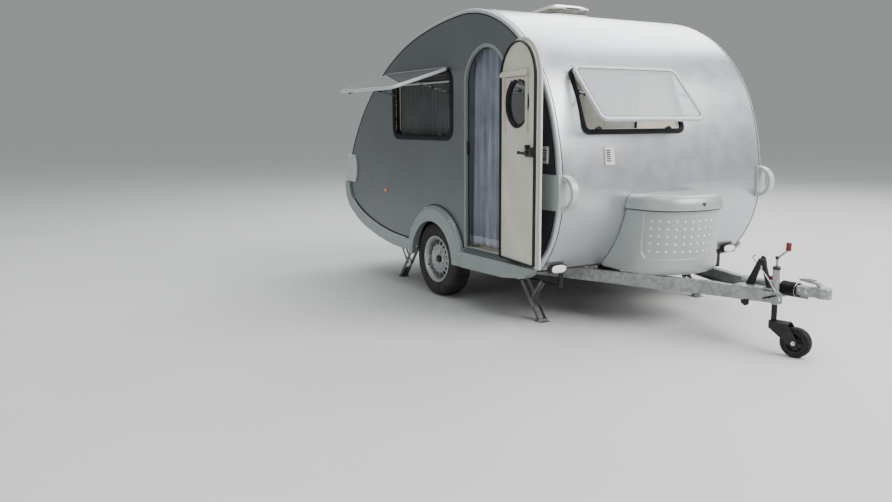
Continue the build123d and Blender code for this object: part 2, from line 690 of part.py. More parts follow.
# ------------------------------------------------------------------ overrun device
DRAW_Z = 398.0
with BuildPart() as overrun:
    with BuildSketch(cross_plane(2340)):
        with Locations((0, DRAW_Z)):
            Circle(34)
    extrude(amount=280)
    # saddle over the two rails
    with BuildSketch(plan_plane(385)):
        with BuildLine():
            Polyline((2380, -164), (2550, -146), (2550, 146), (2380, 164), close=True)
        make_face()
    extrude(amount=8)
save(overrun, "overrun_housing")

with BuildPart() as bellows:
    with BuildSketch(cross_plane(2620)):
        with Locations((0, DRAW_Z)):
            Circle(44)
    extrude(amount=115)
save(bellows, "bellows")

BALL_R, BALL_Z0, BALL_H = 25.3, 378.0, 40.0
with BuildPart() as coupling:
    with BuildSketch(cross_plane(2735)):
        with Locations((0, DRAW_Z + 4)):
            RectangleRounded(58, 58, 12)
    extrude(amount=110)
    with BuildSketch(plan_plane(BALL_Z0)):
        with Locations((COUPLING_X, 0)):
            Circle(40)
        with Locations(((2830 + COUPLING_X) / 2, 0)):
            Rectangle(COUPLING_X - 2830, 60)
    extrude(amount=56)
    with BuildSketch(plan_plane(BALL_Z0)):
        with Locations((COUPLING_X, 0)):
            Circle(BALL_R)
    extrude(amount=BALL_H, mode=Mode.SUBTRACT)
save(coupling, "coupling_head")

with BuildPart() as coupling_handle:
    with BuildSketch(side_plane(16)):
        with BuildLine():
            Polyline((2872, 434), (2902, 434), (2862, 466), (2745, 474), (2745, 462), (2852, 454), (2872, 434))
        make_face()
    extrude(amount=32)
save(coupling_handle, "coupling_handle")

with BuildPart() as handbrake:
    with BuildSketch(side_plane(-52)):
        with BuildLine():
            Polyline((2405, 393), (2455, 393), (2512, 545), (2560, 393), (2586, 393), (2530, 562), (2494, 566), (2405, 393))
        make_face()
    extrude(amount=22)
save(handbrake, "handbrake_lever")

# ------------------------------------------------------------------ jockey wheel
TUBE_R, SLIDE_R = 21.0, 17.0
with BuildPart() as jockey_clamp:
    with BuildSketch(plan_plane(306)):
        with Locations((JOCKEY_X, JOCKEY_Y)):
            Circle(TUBE_R)
            Circle(SLIDE_R + 0.3, mode=Mode.SUBTRACT)
    extrude(amount=222)
    with BuildSketch(plan_plane(528)):
        with Locations((JOCKEY_X, JOCKEY_Y)):
            Circle(TUBE_R)
    extrude(amount=8)
    with BuildSketch(plan_plane(536)):
        with Locations((JOCKEY_X, JOCKEY_Y)):
            Circle(7)
    extrude(amount=58)
    # crank arm and knob
    with BuildSketch(Plane(origin=(JOCKEY_X - XC, JOCKEY_Y, 588), z_dir=(74, 0, 62))):
        Circle(6)
    extrude(amount=96.5)
    with BuildSketch(plan_plane(644)):
        with Locations((JOCKEY_X + 74, JOCKEY_Y)):
            Circle(14)
    extrude(amount=46)
    # clamp block between the tube and the rail's web
    with BuildSketch(plan_plane(330)):
        with Locations((JOCKEY_X, JOCKEY_Y)):
            Circle(TUBE_R + 7)
            Circle(TUBE_R - 1, mode=Mode.SUBTRACT)
        with Locations((JOCKEY_X, JOCKEY_Y - 29)):
            Rectangle(46, 17)
    extrude(amount=50)
save(jockey_clamp, "jockey_clamp")

FORK_Z = 2 * JOCKEY_R + 12
with BuildPart() as jockey_tube:
    with BuildSketch(plan_plane(FORK_Z + 8)):
        with Locations((JOCKEY_X, JOCKEY_Y)):
            Circle(SLIDE_R)
    extrude(amount=452 - FORK_Z)
save(jockey_tube, "jockey_tube")

# the fork trails the swivel tube, turned a little from straight ahead
TRAIL_DEG = 14.0
_t = math.radians(TRAIL_DEG)
TRAIL = (math.cos(_t), math.sin(_t))
JW = (JOCKEY_X + JOCKEY_TRAIL * TRAIL[0], JOCKEY_Y + JOCKEY_TRAIL * TRAIL[1])


def fork_plane(w):
    # upright plane along the fork: sketch x runs from the swivel forward, sketch y is Z
    return Plane(origin=(JOCKEY_X - XC - w * TRAIL[1], JOCKEY_Y + w * TRAIL[0], 0),
                 x_dir=(TRAIL[0], TRAIL[1], 0), z_dir=(TRAIL[1], -TRAIL[0], 0))


with BuildPart() as jockey_fork:
    with BuildSketch(plan_plane(FORK_Z)):
        with Locations((JOCKEY_X, JOCKEY_Y)):
            Circle(SLIDE_R + 12)
    extrude(amount=7)
    with BuildSketch(fork_plane(JOCKEY_W / 2 + 12)):
        with Locations((40, FORK_Z + 3.5)):
            Rectangle(110, 7)
    extrude(amount=JOCKEY_W + 24)
    for w in (JOCKEY_W / 2 + 12, -JOCKEY_W / 2 - 6):
        with BuildSketch(fork_plane(w)):
            with BuildLine():
                Polyline((-15, FORK_Z + 7), (95, FORK_Z + 7), (JOCKEY_TRAIL + 24, JOCKEY_R + 14),
                         (JOCKEY_TRAIL + 24, JOCKEY_R - 18), (JOCKEY_TRAIL - 24, JOCKEY_R - 18), (-15, FORK_Z - 30), close=True)
            make_face()
        extrude(amount=6)
    with BuildSketch(fork_plane(JOCKEY_W / 2 + 14)):
        with Locations((JOCKEY_TRAIL, JOCKEY_R)):
            Circle(8)
    extrude(amount=JOCKEY_W + 28)
save(jockey_fork, "jockey_fork")

with BuildPart() as jockey_wheel:
    with BuildSketch(fork_plane(JOCKEY_W / 2)):
        with Locations((JOCKEY_TRAIL, JOCKEY_R)):
            Circle(JOCKEY_R)
            Circle(8.05, mode=Mode.SUBTRACT)
    extrude(amount=JOCKEY_W)
    tread = jockey_wheel.edges().filter_by(GeomType.CIRCLE).filter_by(lambda e: e.radius > 50)
    fillet(tread, radius=12)
save(jockey_wheel, "jockey_wheel")

# ------------------------------------------------------------------ corner steadies
# name, pivot x, pivot y, direction of the foot (+1 forward)
STEADIES = (("front_right", 1030, -790, 1), ("front_left", 1030, 790, 1),
            ("rear_right", -600, -790, -1), ("rear_left", -600, 790, -1))
PIVOT_Z, LEG_DEG, LINK_A, FOOT_Z = 290.0, 51.0, 180.0, 14.0
LEG_L = (PIVOT_Z - FOOT_Z) / math.sin(math.radians(LEG_DEG))
with BuildPart() as steady_brackets:
    for name, px, py, d in STEADIES:
        with BuildSketch(plan_plane(FLOOR_Z0 - 6)):
            with Locations((px + d * 10, py)):
                Rectangle(120, 90)
        extrude(amount=6)
        for e in (-1, 1):
            with BuildSketch(side_plane(py + e * 42 + 3)):
                with Locations((px, (PIVOT_Z + FLOOR_Z0) / 2 - 14)):
                    Rectangle(46, FLOOR_Z0 - PIVOT_Z + 16)
            extrude(amount=6)
        with BuildSketch(side_plane(py + 42)):
            with Locations((px, PIVOT_Z)):
                Circle(7)
        extrude(amount=84)
        # spindle and its front stop
        with BuildSketch(cross_plane(px if d > 0 else px - 430)):
            with Locations((py, PIVOT_Z)):
                Circle(7)
        extrude(amount=430)
        with BuildSketch(plan_plane(PIVOT_Z - 12)):
            with Locations((px + d * 422, py)):
                Rectangle(14, 32)
        extrude(amount=FLOOR_Z0 - PIVOT_Z + 12)
save(steady_brackets, "steady_brackets")


def leg_point(px, d, r):
    a = math.radians(LEG_DEG)
    return px + d * r * math.cos(a), PIVOT_Z - r * math.sin(a)


for name, px, py, d in STEADIES:
    ex, ez = leg_point(px, d, LEG_L)
    mx, mz = leg_point(px, d, LINK_A)
    a = math.radians(LEG_DEG)
    nx, nz = d * math.sin(a), math.cos(a)
    with BuildPart() as leg:
        for e in (-1, 1):
            with BuildSketch(side_plane(py + e * 31 + 2.5)):
                with BuildLine():
                    Polyline((px - nx * 18, PIVOT_Z - nz * 18), (px + nx * 18, PIVOT_Z + nz * 18),
                             (ex + nx * 13, ez + nz * 13), (ex - nx * 13, ez - nz * 13), close=True)
                make_face()
                with Locations((px, PIVOT_Z)):
                    Circle(18)
                    Circle(7.05, mode=Mode.SUBTRACT)
            extrude(amount=5)
        # web that joins the two cheeks, below the brace's pin
        qx, qz = leg_point(px, d, LINK_A + 55)
        with BuildSketch(side_plane(py + 31)):
            with BuildLine():
                Polyline((qx - nx * 13, qz - nz * 13), (qx - nx * 8, qz - nz * 8), (ex - nx * 8, ez - nz * 8),
                         (ex - nx * 13, ez - nz * 13), close=True)
            make_face()
        extrude(amount=62)
        # stub pins for the brace, one on each cheek
        for e in (-1, 1):
            with BuildSketch(side_plane(py + (31 if e > 0 else -13))):
                with Locations((mx, mz)):
                    Circle(6)
            extrude(amount=18)
        # foot
        with BuildSketch(side_plane(py + 40)):
            with BuildLine():
                Polyline((ex - 40, 0), (ex + 40, 0), (ex + 40, 5), (ex + 14, 5), (ex + 9, ez + 6), (ex - 9, ez + 6),
                         (ex - 14, 5), (ex - 40, 5), close=True)
            make_face()
        extrude(amount=80)
    save(leg, "steady_leg_" + name)
    with BuildPart() as link:
        # brace: two straps from the leg's pin up to the spindle
        lx, lz = px + d * 2 * LINK_A * math.cos(a), PIVOT_Z
        for e in (-1, 1):
            with BuildSketch(side_plane(py + e * 18 + 3)):
                with BuildLine():
                    Polyline((mx - nx * 9, mz + nz * 9), (mx + nx * 9, mz - nz * 9), (lx + nx * 9, lz - nz * 9),
                             (lx - nx * 9, lz + nz * 9), close=True)
                make_face()
                with Locations((mx, mz), (lx, lz)):
                    Circle(13)
                with Locations((mx, mz)):
                    Circle(6.05, mode=Mode.SUBTRACT)
            extrude(amount=6)
        # trunnion bosses at each side of the spindle
        for e in (-1, 1):
            with BuildSketch(side_plane(py + (18 if e > 0 else -9.5))):
                with Locations((lx, lz)):
                    Circle(9)
            extrude(amount=8.5)
    save(link, "steady_link_" + name)

# ------------------------------------------------------------------ handles, lamps, vents
# corner grab handles: first outline arc and part, last arc and part (from above for
# the front, from below for the rear), reach of the side plate, loop's outermost point
GRAB = ((10, 0.828, 11, 0.215, 1454.0, (1788.0, 940.0)), (3, 0.845, 4, 0.297, -1352.0, (REAR_X + 3.225, 985.0)))
with BuildPart() as grab_handles:
    for s in (-1, 1):
        for i0, p0, i1, p1, reach, tip in GRAB:
            # loop's roots on the pad, outer and inner edge
            q0, q1 = (1 / (OUTLINE[i][0] * math.radians(OUTLINE[i][1])) for i in (i0, i1))
            (xa, za, _), (xb, zb, _) = on_outline(i0, p0 + 4 * q0, -8), on_outline(i1, p1 - 4 * q1, -8)
            (xe, ze, _), (xf, zf, _) = on_outline(i0, p0 + 28 * q0, -8), on_outline(i1, p1 - 28 * q1, -8)
            d = 1 if reach > 0 else -1
            # plate on the side wall
            (xc, zc, _), (xd, zd, _) = on_outline(i0, p0, -6), on_outline(i1, p1, -6)
            with BuildSketch(side_plane(s * (HALF + 0.5) if s < 0 else s * (HALF + 14))):
                with BuildLine():
                    for k in range(i0, i1 + 1):
                        lo = p0 if k == i0 else 0.0
                        hi = p1 if k == i1 else 1.0
                        ThreePointArc(*(on_outline(k, lo + (hi - lo) * q, -6)[:2] for q in (0, 0.5, 1)))
                    Line((xc, zc), (reach + d * 40, zc))
                    Line((xd, zd), (reach + d * 40, zd))
                    ThreePointArc((reach + d * 40, zd), (reach, (zc + zd) / 2), (reach + d * 40, zc))
                make_face()
            extrude(amount=13.5)
            # pad round the corner, clear of the panel
            with BuildSketch(side_plane(-HALF + 70 if s < 0 else HALF + 14)):
                with BuildLine():
                    for k in range(i0, i1 + 1):
                        lo = p0 if k == i0 else 0.0
                        hi = p1 if k == i1 else 1.0
                        for gap in (-14, -0.5):
                            a1, a2, a3 = (on_outline(k, lo + (hi - lo) * q, gap)[:2] for q in (0, 0.5, 1))
                            ThreePointArc(a1, a2, a3)
                    for i, q in ((i0, p0), (i1, p1)):
                        Line(on_outline(i, q, -14)[:2], on_outline(i, q, -0.5)[:2])
                make_face()
            extrude(amount=84)
            # loop standing out from the corner
            with BuildSketch(side_plane(-HALF + 62 if s < 0 else HALF - 12)):
                with BuildLine():
                    ThreePointArc((xa, za), tip, (xb, zb))
                    ThreePointArc((xe, ze), (tip[0] - d * 24, tip[1]), (xf, zf))
                    Line((xa, za), (xe, ze))
                    Line((xb, zb), (xf, zf))
                make_face()
            extrude(amount=50)
save(grab_handles, "grab_handles")

with BuildPart() as front_lamps:
    for s in (-1, 1):
        with BuildSketch(cross_plane(1461)):
            with Locations((s * 852, 425)):
                RectangleRounded(132, 60, 20)
        extrude(amount=49)
    with BuildSketch(side_plane(HALF)):
        with BuildLine():
            body_clear(0.5)
        make_face()
    extrude(amount=2 * HALF, mode=Mode.SUBTRACT)
save(front_lamps, "front_lamps")

with BuildPart() as rear_lamps:
    for s in (-1, 1):
        with BuildSketch(cross_plane(-1640)):
            with Locations((s * 780, 800)):
                RectangleRounded(180, 90, 30)
        extrude(amount=80)
    with BuildSketch(side_plane(HALF)):
        with BuildLine():
            outline(2, 5, -0.5)
            Line(joint(2, -0.5)[:2], joint(5, -0.5)[:2])
        make_face()
    extrude(amount=2 * HALF, mode=Mode.SUBTRACT)
save(rear_lamps, "rear_lamps")

with BuildPart() as vent_plates:
    with BuildSketch(side_plane(-HALF)):
        with Locations((1500, 1195)):
            RectangleRounded(100, 110, 10)
    extrude(amount=8)
    # front vent beside the corner, on the curved panel
    with BuildSketch(skin_plane(10, 0.627, -0.3, -556)):
        RectangleRounded(84, 128, 12)
    extrude(amount=8)
save(vent_plates, "vent_plates")

# ------------------------------------------------------------------ inside
with BuildPart() as benches:
    with BuildSketch(plan_plane(FLOOR_Z1)):
        with Locations((-640, 0)):
            Rectangle(520, 1900)
            Rectangle(480, 1860, mode=Mode.SUBTRACT)
    extrude(amount=320)
save(benches, "bench_boxes")

with BuildPart() as cushions:
    with BuildSketch(plan_plane(FLOOR_Z1 + 322)):
        with Locations((-640, 0)):
            RectangleRounded(520, 1880, 40)
    extrude(amount=120)
save(cushions, "seat_cushions")

with BuildPart() as kitchen:
    with BuildSketch(plan_plane(FLOOR_Z1)):
        with Locations((850, 760)):
            Rectangle(780, 380)
            Rectangle(750, 350, mode=Mode.SUBTRACT)
    extrude(amount=850)
    with BuildSketch(plan_plane(FLOOR_Z1 + 850)):
        with Locations((850, 755)):
            Rectangle(800, 400)
    extrude(amount=28)
save(kitchen, "kitchen_unit")

with BuildPart() as curtain:
    with BuildSketch(plan_plane(DOOR_Z0 + 12)):
        with Locations((758, -908)):
            RectangleRounded(636, 46, 20)
    extrude(amount=1479)
    for s in (-1, 1):
        with BuildSketch(plan_plane(WIN_Z - 270)):
            with Locations((WIN_X, s * (INNER - 30))):
                RectangleRounded(916, 26, 12)
        extrude(amount=530)
save(curtain, "curtains")

with BuildPart() as table:
    for z, z1, x, r in ((FLOOR_Z1, FLOOR_Z1 + 12, -90, 150), (FLOOR_Z1 + 12, 1118, -90, 30)):
        with BuildSketch(plan_plane(z)):
            with Locations((x, 0)):
                Circle(r)
        extrude(amount=z1 - z)
    with BuildSketch(plan_plane(1118)):
        with Locations((-90, 0)):
            RectangleRounded(520, 760, 60)
    extrude(amount=25)
save(table, "cabin_table")
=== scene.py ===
import json
import math
import random

import bmesh
import bpy
import numpy as np
from mathutils import Matrix, Vector


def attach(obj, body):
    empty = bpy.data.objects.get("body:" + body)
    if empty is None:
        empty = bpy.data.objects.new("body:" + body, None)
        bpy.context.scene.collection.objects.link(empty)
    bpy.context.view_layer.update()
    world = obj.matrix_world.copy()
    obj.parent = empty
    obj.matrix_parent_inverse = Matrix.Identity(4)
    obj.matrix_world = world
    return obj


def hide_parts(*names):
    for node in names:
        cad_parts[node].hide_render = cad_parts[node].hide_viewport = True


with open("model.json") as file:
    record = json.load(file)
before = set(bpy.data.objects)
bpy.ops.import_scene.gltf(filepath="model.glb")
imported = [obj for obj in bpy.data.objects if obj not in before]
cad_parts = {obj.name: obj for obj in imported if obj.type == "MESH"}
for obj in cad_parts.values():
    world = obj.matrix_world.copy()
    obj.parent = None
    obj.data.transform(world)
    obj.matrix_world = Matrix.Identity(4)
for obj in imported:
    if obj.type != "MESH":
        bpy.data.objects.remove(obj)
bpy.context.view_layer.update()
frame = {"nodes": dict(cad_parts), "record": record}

NODES = frame["nodes"]
rng = random.Random(11)

# ---------------------------------------------------------------- shared sizes (mm from the road axle)
XC = 647.0
HALF, WALL, INNER, TRIM = 990.0, 30.0, 960.0, 35.0
OUT_X, OUT_Z, OUT_H = -307.0, 330.0, 180.8
OUTLINE = ((2903.0, 13.0), (2903.0, 5.1), (1054.0, 16.9), (269.0, 74.2), (1622.0, 26.2), (2209.0, 14.0),
           (2209.0, 16.75), (3681.0, 10.5), (1075.0, 38.0), (1075.0, 35.5), (1802.0, 18.3), (737.0, 47.6))
WHEEL_X, WHEEL_R, WHEEL_Y = 62.0, 301.0, 887.0
ARCH_X, ARCH_Z, ARCH_R = 92.0, 303.0, 318.0
FENDER_X, FENDER_Z, FENDER_R = 115.0, 322.0, 430.0
DOOR_X, DOOR_W, DOOR_Z0, DOOR_SPRING = 815.0, 506.0, 467.0, 1684.0
HINGE_X, HINGE_Y, DOOR_OPEN = 1095.0, -1018.0, 171.0
WIN_X, WIN_Z, WIN_W, WIN_H, WIN_R = -120.0, 1543.0, 930.0, 500.0, 80.0
FLAP_OPEN, FRONT_OPEN, PANE_T = 72.5, 20.0, 22.0
FWIN_Y, FWIN_W, FWIN_H, FWIN_AT = -292.0, 925.0, 455.0, (9, 0.972)
RWIN_W, RWIN_H, RWIN_AT = 1000.0, 400.0, (4, 0.85)
HATCH_X, HATCH_W = 380.0, 380.0
BOX_Z0, BOX_SEAM, BOX_TOP, BOX_Y = 388.0, 822.0, 928.0, -65.0
JOCKEY_X, JOCKEY_Y, JOCKEY_TRAIL, JOCKEY_R, JOCKEY_W = 2640.0, -92.0, 140.0, 92.0, 58.0


def P(x, y, z):
    return Vector(((x - XC) / 1000.0, y / 1000.0, z / 1000.0))


def joint(i, inset=0.0):
    x, z, h = OUT_X, OUT_Z, math.radians(OUT_H)
    for radius, sweep in OUTLINE[:i]:
        a = math.radians(sweep)
        cx, cz = x + radius * math.sin(h), z - radius * math.cos(h)
        h -= a
        x, z = cx - radius * math.sin(h), cz + radius * math.cos(h)
    return x + inset * math.sin(h), z - inset * math.cos(h), math.degrees(h)


def on_outline(i, part, inset=0.0):
    x, z, h = joint(i)
    radius, sweep = OUTLINE[i]
    h, a = math.radians(h), math.radians(sweep * part)
    cx, cz = x + radius * math.sin(h), z - radius * math.cos(h)
    h -= a
    r = radius - inset
    return cx - r * math.sin(h), cz + r * math.cos(h), math.degrees(h)


def outline_run(first, last, step=45.0, p0=0.0, p1=1.0):
    """Arc number and part of evenly spaced points along outline arcs first..last-1."""
    out = []
    for i in range(first, last):
        radius, sweep = OUTLINE[i]
        n = max(3, int(radius * math.radians(sweep) / step))
        a = p0 if i == first else 0.0
        b = p1 if i == last - 1 else 1.0
        for k in range(n + (1 if i == last - 1 else 0)):
            out.append((i, a + (b - a) * k / n))
    return out


def body_x(z):
    """Front surface of the body at a height."""
    best = None
    for i, p in outline_run(8, 12, 4.0):
        x, zz, _ = on_outline(i, p)
        if best is None or abs(zz - z) < best[0]:
            best = (abs(zz - z), x)
    return best[1]


def body_height(x):
    """Roof surface at a length."""
    best = None
    for i, p in outline_run(5, 9, 4.0):
        xx, z, _ = on_outline(i, p)
        if best is None or abs(xx - x) < best[0]:
            best = (abs(xx - x), z)
    return best[1]


# ---------------------------------------------------------------- camera
F = 815.0
CAM = Vector((5.752785647 - 0.647, -4.321515639, 1.409140649))
yaw, pitch, roll = (math.radians(a) for a in (58.75597, 8.96743, -0.27630))
cf = Vector((-math.sin(yaw) * math.cos(pitch), math.cos(yaw) * math.cos(pitch), -math.sin(pitch)))
cr = Vector((math.cos(yaw), math.sin(yaw), 0.0))
cu = cr.cross(cf)
cr2 = cr * math.cos(roll) + cu * math.sin(roll)
cu2 = -cr * math.sin(roll) + cu * math.cos(roll)
cam_data = bpy.data.cameras.new("camera")
cam_data.sensor_width = 36.0
cam_data.sensor_fit = "HORIZONTAL"
cam_data.lens = 36.0 * F / 892.0
cam_data.clip_start, cam_data.clip_end = 0.05, 200.0
cam = bpy.data.objects.new("camera", cam_data)
bpy.context.scene.collection.objects.link(cam)
m = Matrix((cr2, cu2, -cf)).transposed().to_4x4()
m.translation = CAM
cam.matrix_world = m
bpy.context.scene.camera = cam


# ---------------------------------------------------------------- materials
class Mat:
    """Small builder for node materials in object coordinates."""

    def __init__(self, name):
        self.m = bpy.data.materials.new(name)
        self.m.use_nodes = True
        self.t = self.m.node_tree
        self.t.nodes.clear()
        self.out = self.t.nodes.new("ShaderNodeOutputMaterial")
        self.b = self.t.nodes.new("ShaderNodeBsdfPrincipled")
        self.t.links.new(self.b.outputs[0], self.out.inputs[0])
        self.co = self.t.nodes.new("ShaderNodeTexCoord").outputs["Object"]

    def link(self, a, b):
        self.t.links.new(a, b)

    def noise(self, scale, detail=3.0, rough=0.55, stretch=None, warp=0.0):
        n = self.t.nodes.new("ShaderNodeTexNoise")
        n.inputs["Scale"].default_value = scale
        n.inputs["Detail"].default_value = detail
        n.inputs["Roughness"].default_value = rough
        n.inputs["Distortion"].default_value = warp
        src = self.co
        if stretch:
            mp = self.t.nodes.new("ShaderNodeMapping")
            mp.inputs["Scale"].default_value = stretch
            self.link(src, mp.inputs["Vector"])
            src = mp.outputs[0]
        self.link(src, n.inputs["Vector"])
        return n.outputs["Fac"]

    def wave(self, scale, axis="X", detail=0.0, warp=0.0, stretch=None):
        n = self.t.nodes.new("ShaderNodeTexWave")
        n.bands_direction = axis
        n.inputs["Scale"].default_value = scale
        n.inputs["Distortion"].default_value = warp
        n.inputs["Detail"].default_value = detail
        self.link(self.co, n.inputs["Vector"])
        return n.outputs["Fac"]

    def voronoi(self, scale):
        n = self.t.nodes.new("ShaderNodeTexVoronoi")
        n.inputs["Scale"].default_value = scale
        self.link(self.co, n.inputs["Vector"])
        return n.outputs["Distance"]

    def ranged(self, fac, lo, hi, a=0.3, b=0.7):
        n = self.t.nodes.new("ShaderNodeMapRange")
        n.inputs[1].default_value, n.inputs[2].default_value = a, b
        n.inputs[3].default_value, n.inputs[4].default_value = lo, hi
        self.link(fac, n.inputs[0])
        return n.outputs[0]

    def mix(self, fac, a, b):
        n = self.t.nodes.new("ShaderNodeMix")
        n.data_type = "RGBA"
        self.link(fac, n.inputs["Factor"])
        for key, v in ((6, a), (7, b)):
            if isinstance(v, tuple):
                n.inputs[key].default_value = (*v, 1.0)
            else:
                self.link(v, n.inputs[key])
        return n.outputs[2]

    def math(self, op, a, b=None, c=None):
        n = self.t.nodes.new("ShaderNodeMath")
        n.operation = op
        for k, v in enumerate((a, b, c)):
            if v is None:
                continue
            if isinstance(v, (int, float)):
                n.inputs[k].default_value = v
            else:
                self.link(v, n.inputs[k])
        return n.outputs[0]

    def dot(self, vec, origin=(0, 0, 0)):
        """Object position along a direction, from an origin, in metres."""
        s = self.t.nodes.new("ShaderNodeVectorMath")
        s.operation = "SUBTRACT"
        self.link(self.co, s.inputs[0])
        s.inputs[1].default_value = origin
        d = self.t.nodes.new("ShaderNodeVectorMath")
        d.operation = "DOT_PRODUCT"
        self.link(s.outputs[0], d.inputs[0])
        d.inputs[1].default_value = vec
        return d.outputs["Value"]

    def outward(self, centre):
        """1 where the surface faces away from a point, in the side view."""
        s = self.t.nodes.new("ShaderNodeVectorMath")
        s.operation = "SUBTRACT"
        self.link(self.co, s.inputs[0])
        s.inputs[1].default_value = centre
        flat = self.t.nodes.new("ShaderNodeVectorMath")
        flat.operation = "MULTIPLY"
        self.link(s.outputs[0], flat.inputs[0])
        flat.inputs[1].default_value = (1, 0, 1)
        g = self.t.nodes.new("ShaderNodeTexCoord").outputs["Normal"]
        d = self.t.nodes.new("ShaderNodeVectorMath")
        d.operation = "DOT_PRODUCT"
        self.link(flat.outputs[0], d.inputs[0])
        self.link(g, d.inputs[1])
        return self.math("GREATER_THAN", d.outputs["Value"], 0.0)

    def bump(self, fac, strength, dist=0.001, prev=None):
        n = self.t.nodes.new("ShaderNodeBump")
        n.inputs["Strength"].default_value = strength
        n.inputs["Distance"].default_value = dist
        self.link(fac, n.inputs["Height"])
        if prev is not None:
            self.link(prev, n.inputs["Normal"])
        self.link(n.outputs[0], self.b.inputs["Normal"])
        return n.outputs[0]

    def set(self, **kw):
        for k, v in kw.items():
            name = {"rough": "Roughness", "metal": "Metallic", "coat": "Coat Weight", "coat_rough": "Coat Roughness",
                    "spec": "Specular IOR Level", "trans": "Transmission Weight", "ior": "IOR", "sheen": "Sheen Weight",
                    "sheen_rough": "Sheen Roughness", "alpha": "Alpha", "color": "Base Color",
                    "sss": "Subsurface Weight"}[k]
            self.b.inputs[name].default_value = (*v, 1.0) if isinstance(v, tuple) else v
        return self


def hx(r, g, b):
    """sRGB bytes to linear."""
    return tuple((c / 255 / 12.92) if c / 255 <= 0.04045 else ((c / 255 + 0.055) / 1.055) ** 2.4 for c in (r, g, b))


def varied(name, col, rough=0.5, metal=0.0, var=0.05, vscale=7.0, rvar=0.07, rscale=18.0, bump=0.0, bscale=300.0,
           bdist=0.0004, dirt=0.0, dirt_top=0.75, wear=0.0, **kw):
    """A finish with gentle colour and gloss variation, fine surface texture, and road dirt low down."""
    M = Mat(name)
    M.set(metal=metal, **kw)
    light = tuple(min(1.0, c * (1 + var)) for c in col)
    dark = tuple(c * (1 - var) for c in col)
    c = M.mix(M.ranged(M.noise(vscale, 4.0, warp=0.3), 0.0, 1.0), dark, light)
    fine = M.noise(rscale, 5.0)
    if dirt:
        z = M.dot((0, 0, 1))
        low = M.ranged(z, 1.0, 0.0, 0.0, dirt_top)
        spots = M.ranged(M.noise(14.0, 6.0, 0.7), 0.0, 1.0, 0.42, 0.72)
        d = M.math("MULTIPLY", M.math("MULTIPLY", low, spots), dirt)
        c = M.mix(d, c, (0.16, 0.13, 0.09))
    if wear:
        w = M.math("MULTIPLY", M.ranged(M.noise(55.0, 8.0, 0.75), 0.0, 1.0, 0.6, 0.68), wear)
        c = M.mix(w, c, tuple(x * 0.55 for x in col))
    M.link(c, M.b.inputs["Base Color"])
    M.link(M.ranged(fine, max(0.02, rough - rvar), min(1.0, rough + rvar)), M.b.inputs["Roughness"])
    if bump:
        M.bump(M.noise(bscale, 3.0), bump, bdist)
    return M.m


def panel_material(name, col, rough, metal, side):
    """Body panel: metallic paint outside, pale wood-free lining inside."""
    M = Mat(name)
    M.set(coat=0.3, coat_rough=0.28)
    paint = M.mix(M.ranged(M.noise(2.2, 3.0), 0.0, 1.0), tuple(c * 0.95 for c in col), tuple(min(1, c * 1.05) for c in col))
    flake = M.ranged(M.noise(1800.0, 1.0), 0.93, 1.07, 0.35, 0.65)
    hsv = M.t.nodes.new("ShaderNodeHueSaturation")
    M.link(paint, hsv.inputs["Color"])
    M.link(flake, hsv.inputs["Value"])
    streak = M.ranged(M.noise(6.0, 6.0, 0.65, stretch=(7.0, 7.0, 0.7)), 0.0, 1.0, 0.5, 0.8)
    low = M.ranged(M.dot((0, 0, 1)), 1.0, 0.15, 0.35, 1.6)
    dust = M.math("MULTIPLY", M.math("MULTIPLY", streak, low), 0.16)
    paint = M.mix(dust, hsv.outputs[0], (0.26, 0.25, 0.21))
    lining = M.mix(M.ranged(M.noise(160.0, 3.0), 0.0, 1.0), hx(196, 190, 176), hx(206, 201, 189))
    if side:
        mask = M.math("GREATER_THAN", M.math("ABSOLUTE", M.dot((0, 1, 0))), 0.972)
    else:
        mask = M.outward(((300 - XC) / 1000, 0, 1.2))
    M.link(M.mix(mask, lining, paint), M.b.inputs["Base Color"])
    M.link(M.math("MULTIPLY", mask, metal), M.b.inputs["Metallic"])
    r = M.ranged(M.noise(9.0, 5.0), rough - 0.04, rough + 0.05)
    M.link(M.math("ADD", M.math("MULTIPLY", mask, r), M.math("MULTIPLY", M.math("SUBTRACT", 1.0, mask), 0.6)),
           M.b.inputs["Roughness"])
    M.bump(M.noise(3.0, 2.0), 0.05, 0.004)
    return M.m


MAT = {}
# side walls: the same silver as the front, darkened as painted shade for the side turned from the light
MAT["wall_paint"] = panel_material("wall_paint", (0.165, 0.18, 0.192), 0.36, 0.72, True)
MAT["silver_paint"] = panel_material("silver_paint", (0.58, 0.60, 0.63), 0.32, 0.78, False)
MAT["trim_aluminium"] = varied("trim_aluminium", (0.56, 0.58, 0.60), 0.42, 0.6, 0.04, 6.0, 0.03, 12.0, dirt=0.12)
MAT["skirt_plastic"] = varied("skirt_plastic", hx(140, 150, 150), 0.36, 0.3, 0.05, 6.0, 0.05, 30.0, bump=0.06, bscale=900.0, bdist=0.0003, dirt=0.3, dirt_top=0.7, coat=0.4, coat_rough=0.22)
MAT["handle_plastic"] = varied("handle_plastic", hx(190, 198, 194), 0.34, 0.12, 0.04, 9.0, 0.07, 40.0, bump=0.1, bscale=900.0, bdist=0.0003, coat=0.2, coat_rough=0.25)
MAT["box_plastic"] = varied("box_plastic", hx(168, 174, 173), 0.34, 0.2, 0.04, 6.0, 0.05, 30.0, bump=0.06, bscale=800.0, bdist=0.0003, dirt=0.2, dirt_top=0.6, coat=0.3, coat_rough=0.22)
# pale plastic for the dimples' bowls: painted highlight where they catch the light
MAT["box_dimple_painted_highlight"] = varied("box_dimple_painted_highlight", hx(232, 235, 234), 0.24, 0.05, 0.03, 9.0, 0.05, 40.0, coat=0.6, coat_rough=0.1)
MAT["black_plastic"] = varied("black_plastic", (0.018, 0.018, 0.02), 0.42, 0.0, 0.25, 20.0, 0.1, 60.0, bump=0.2, bscale=1200.0, bdist=0.0003)
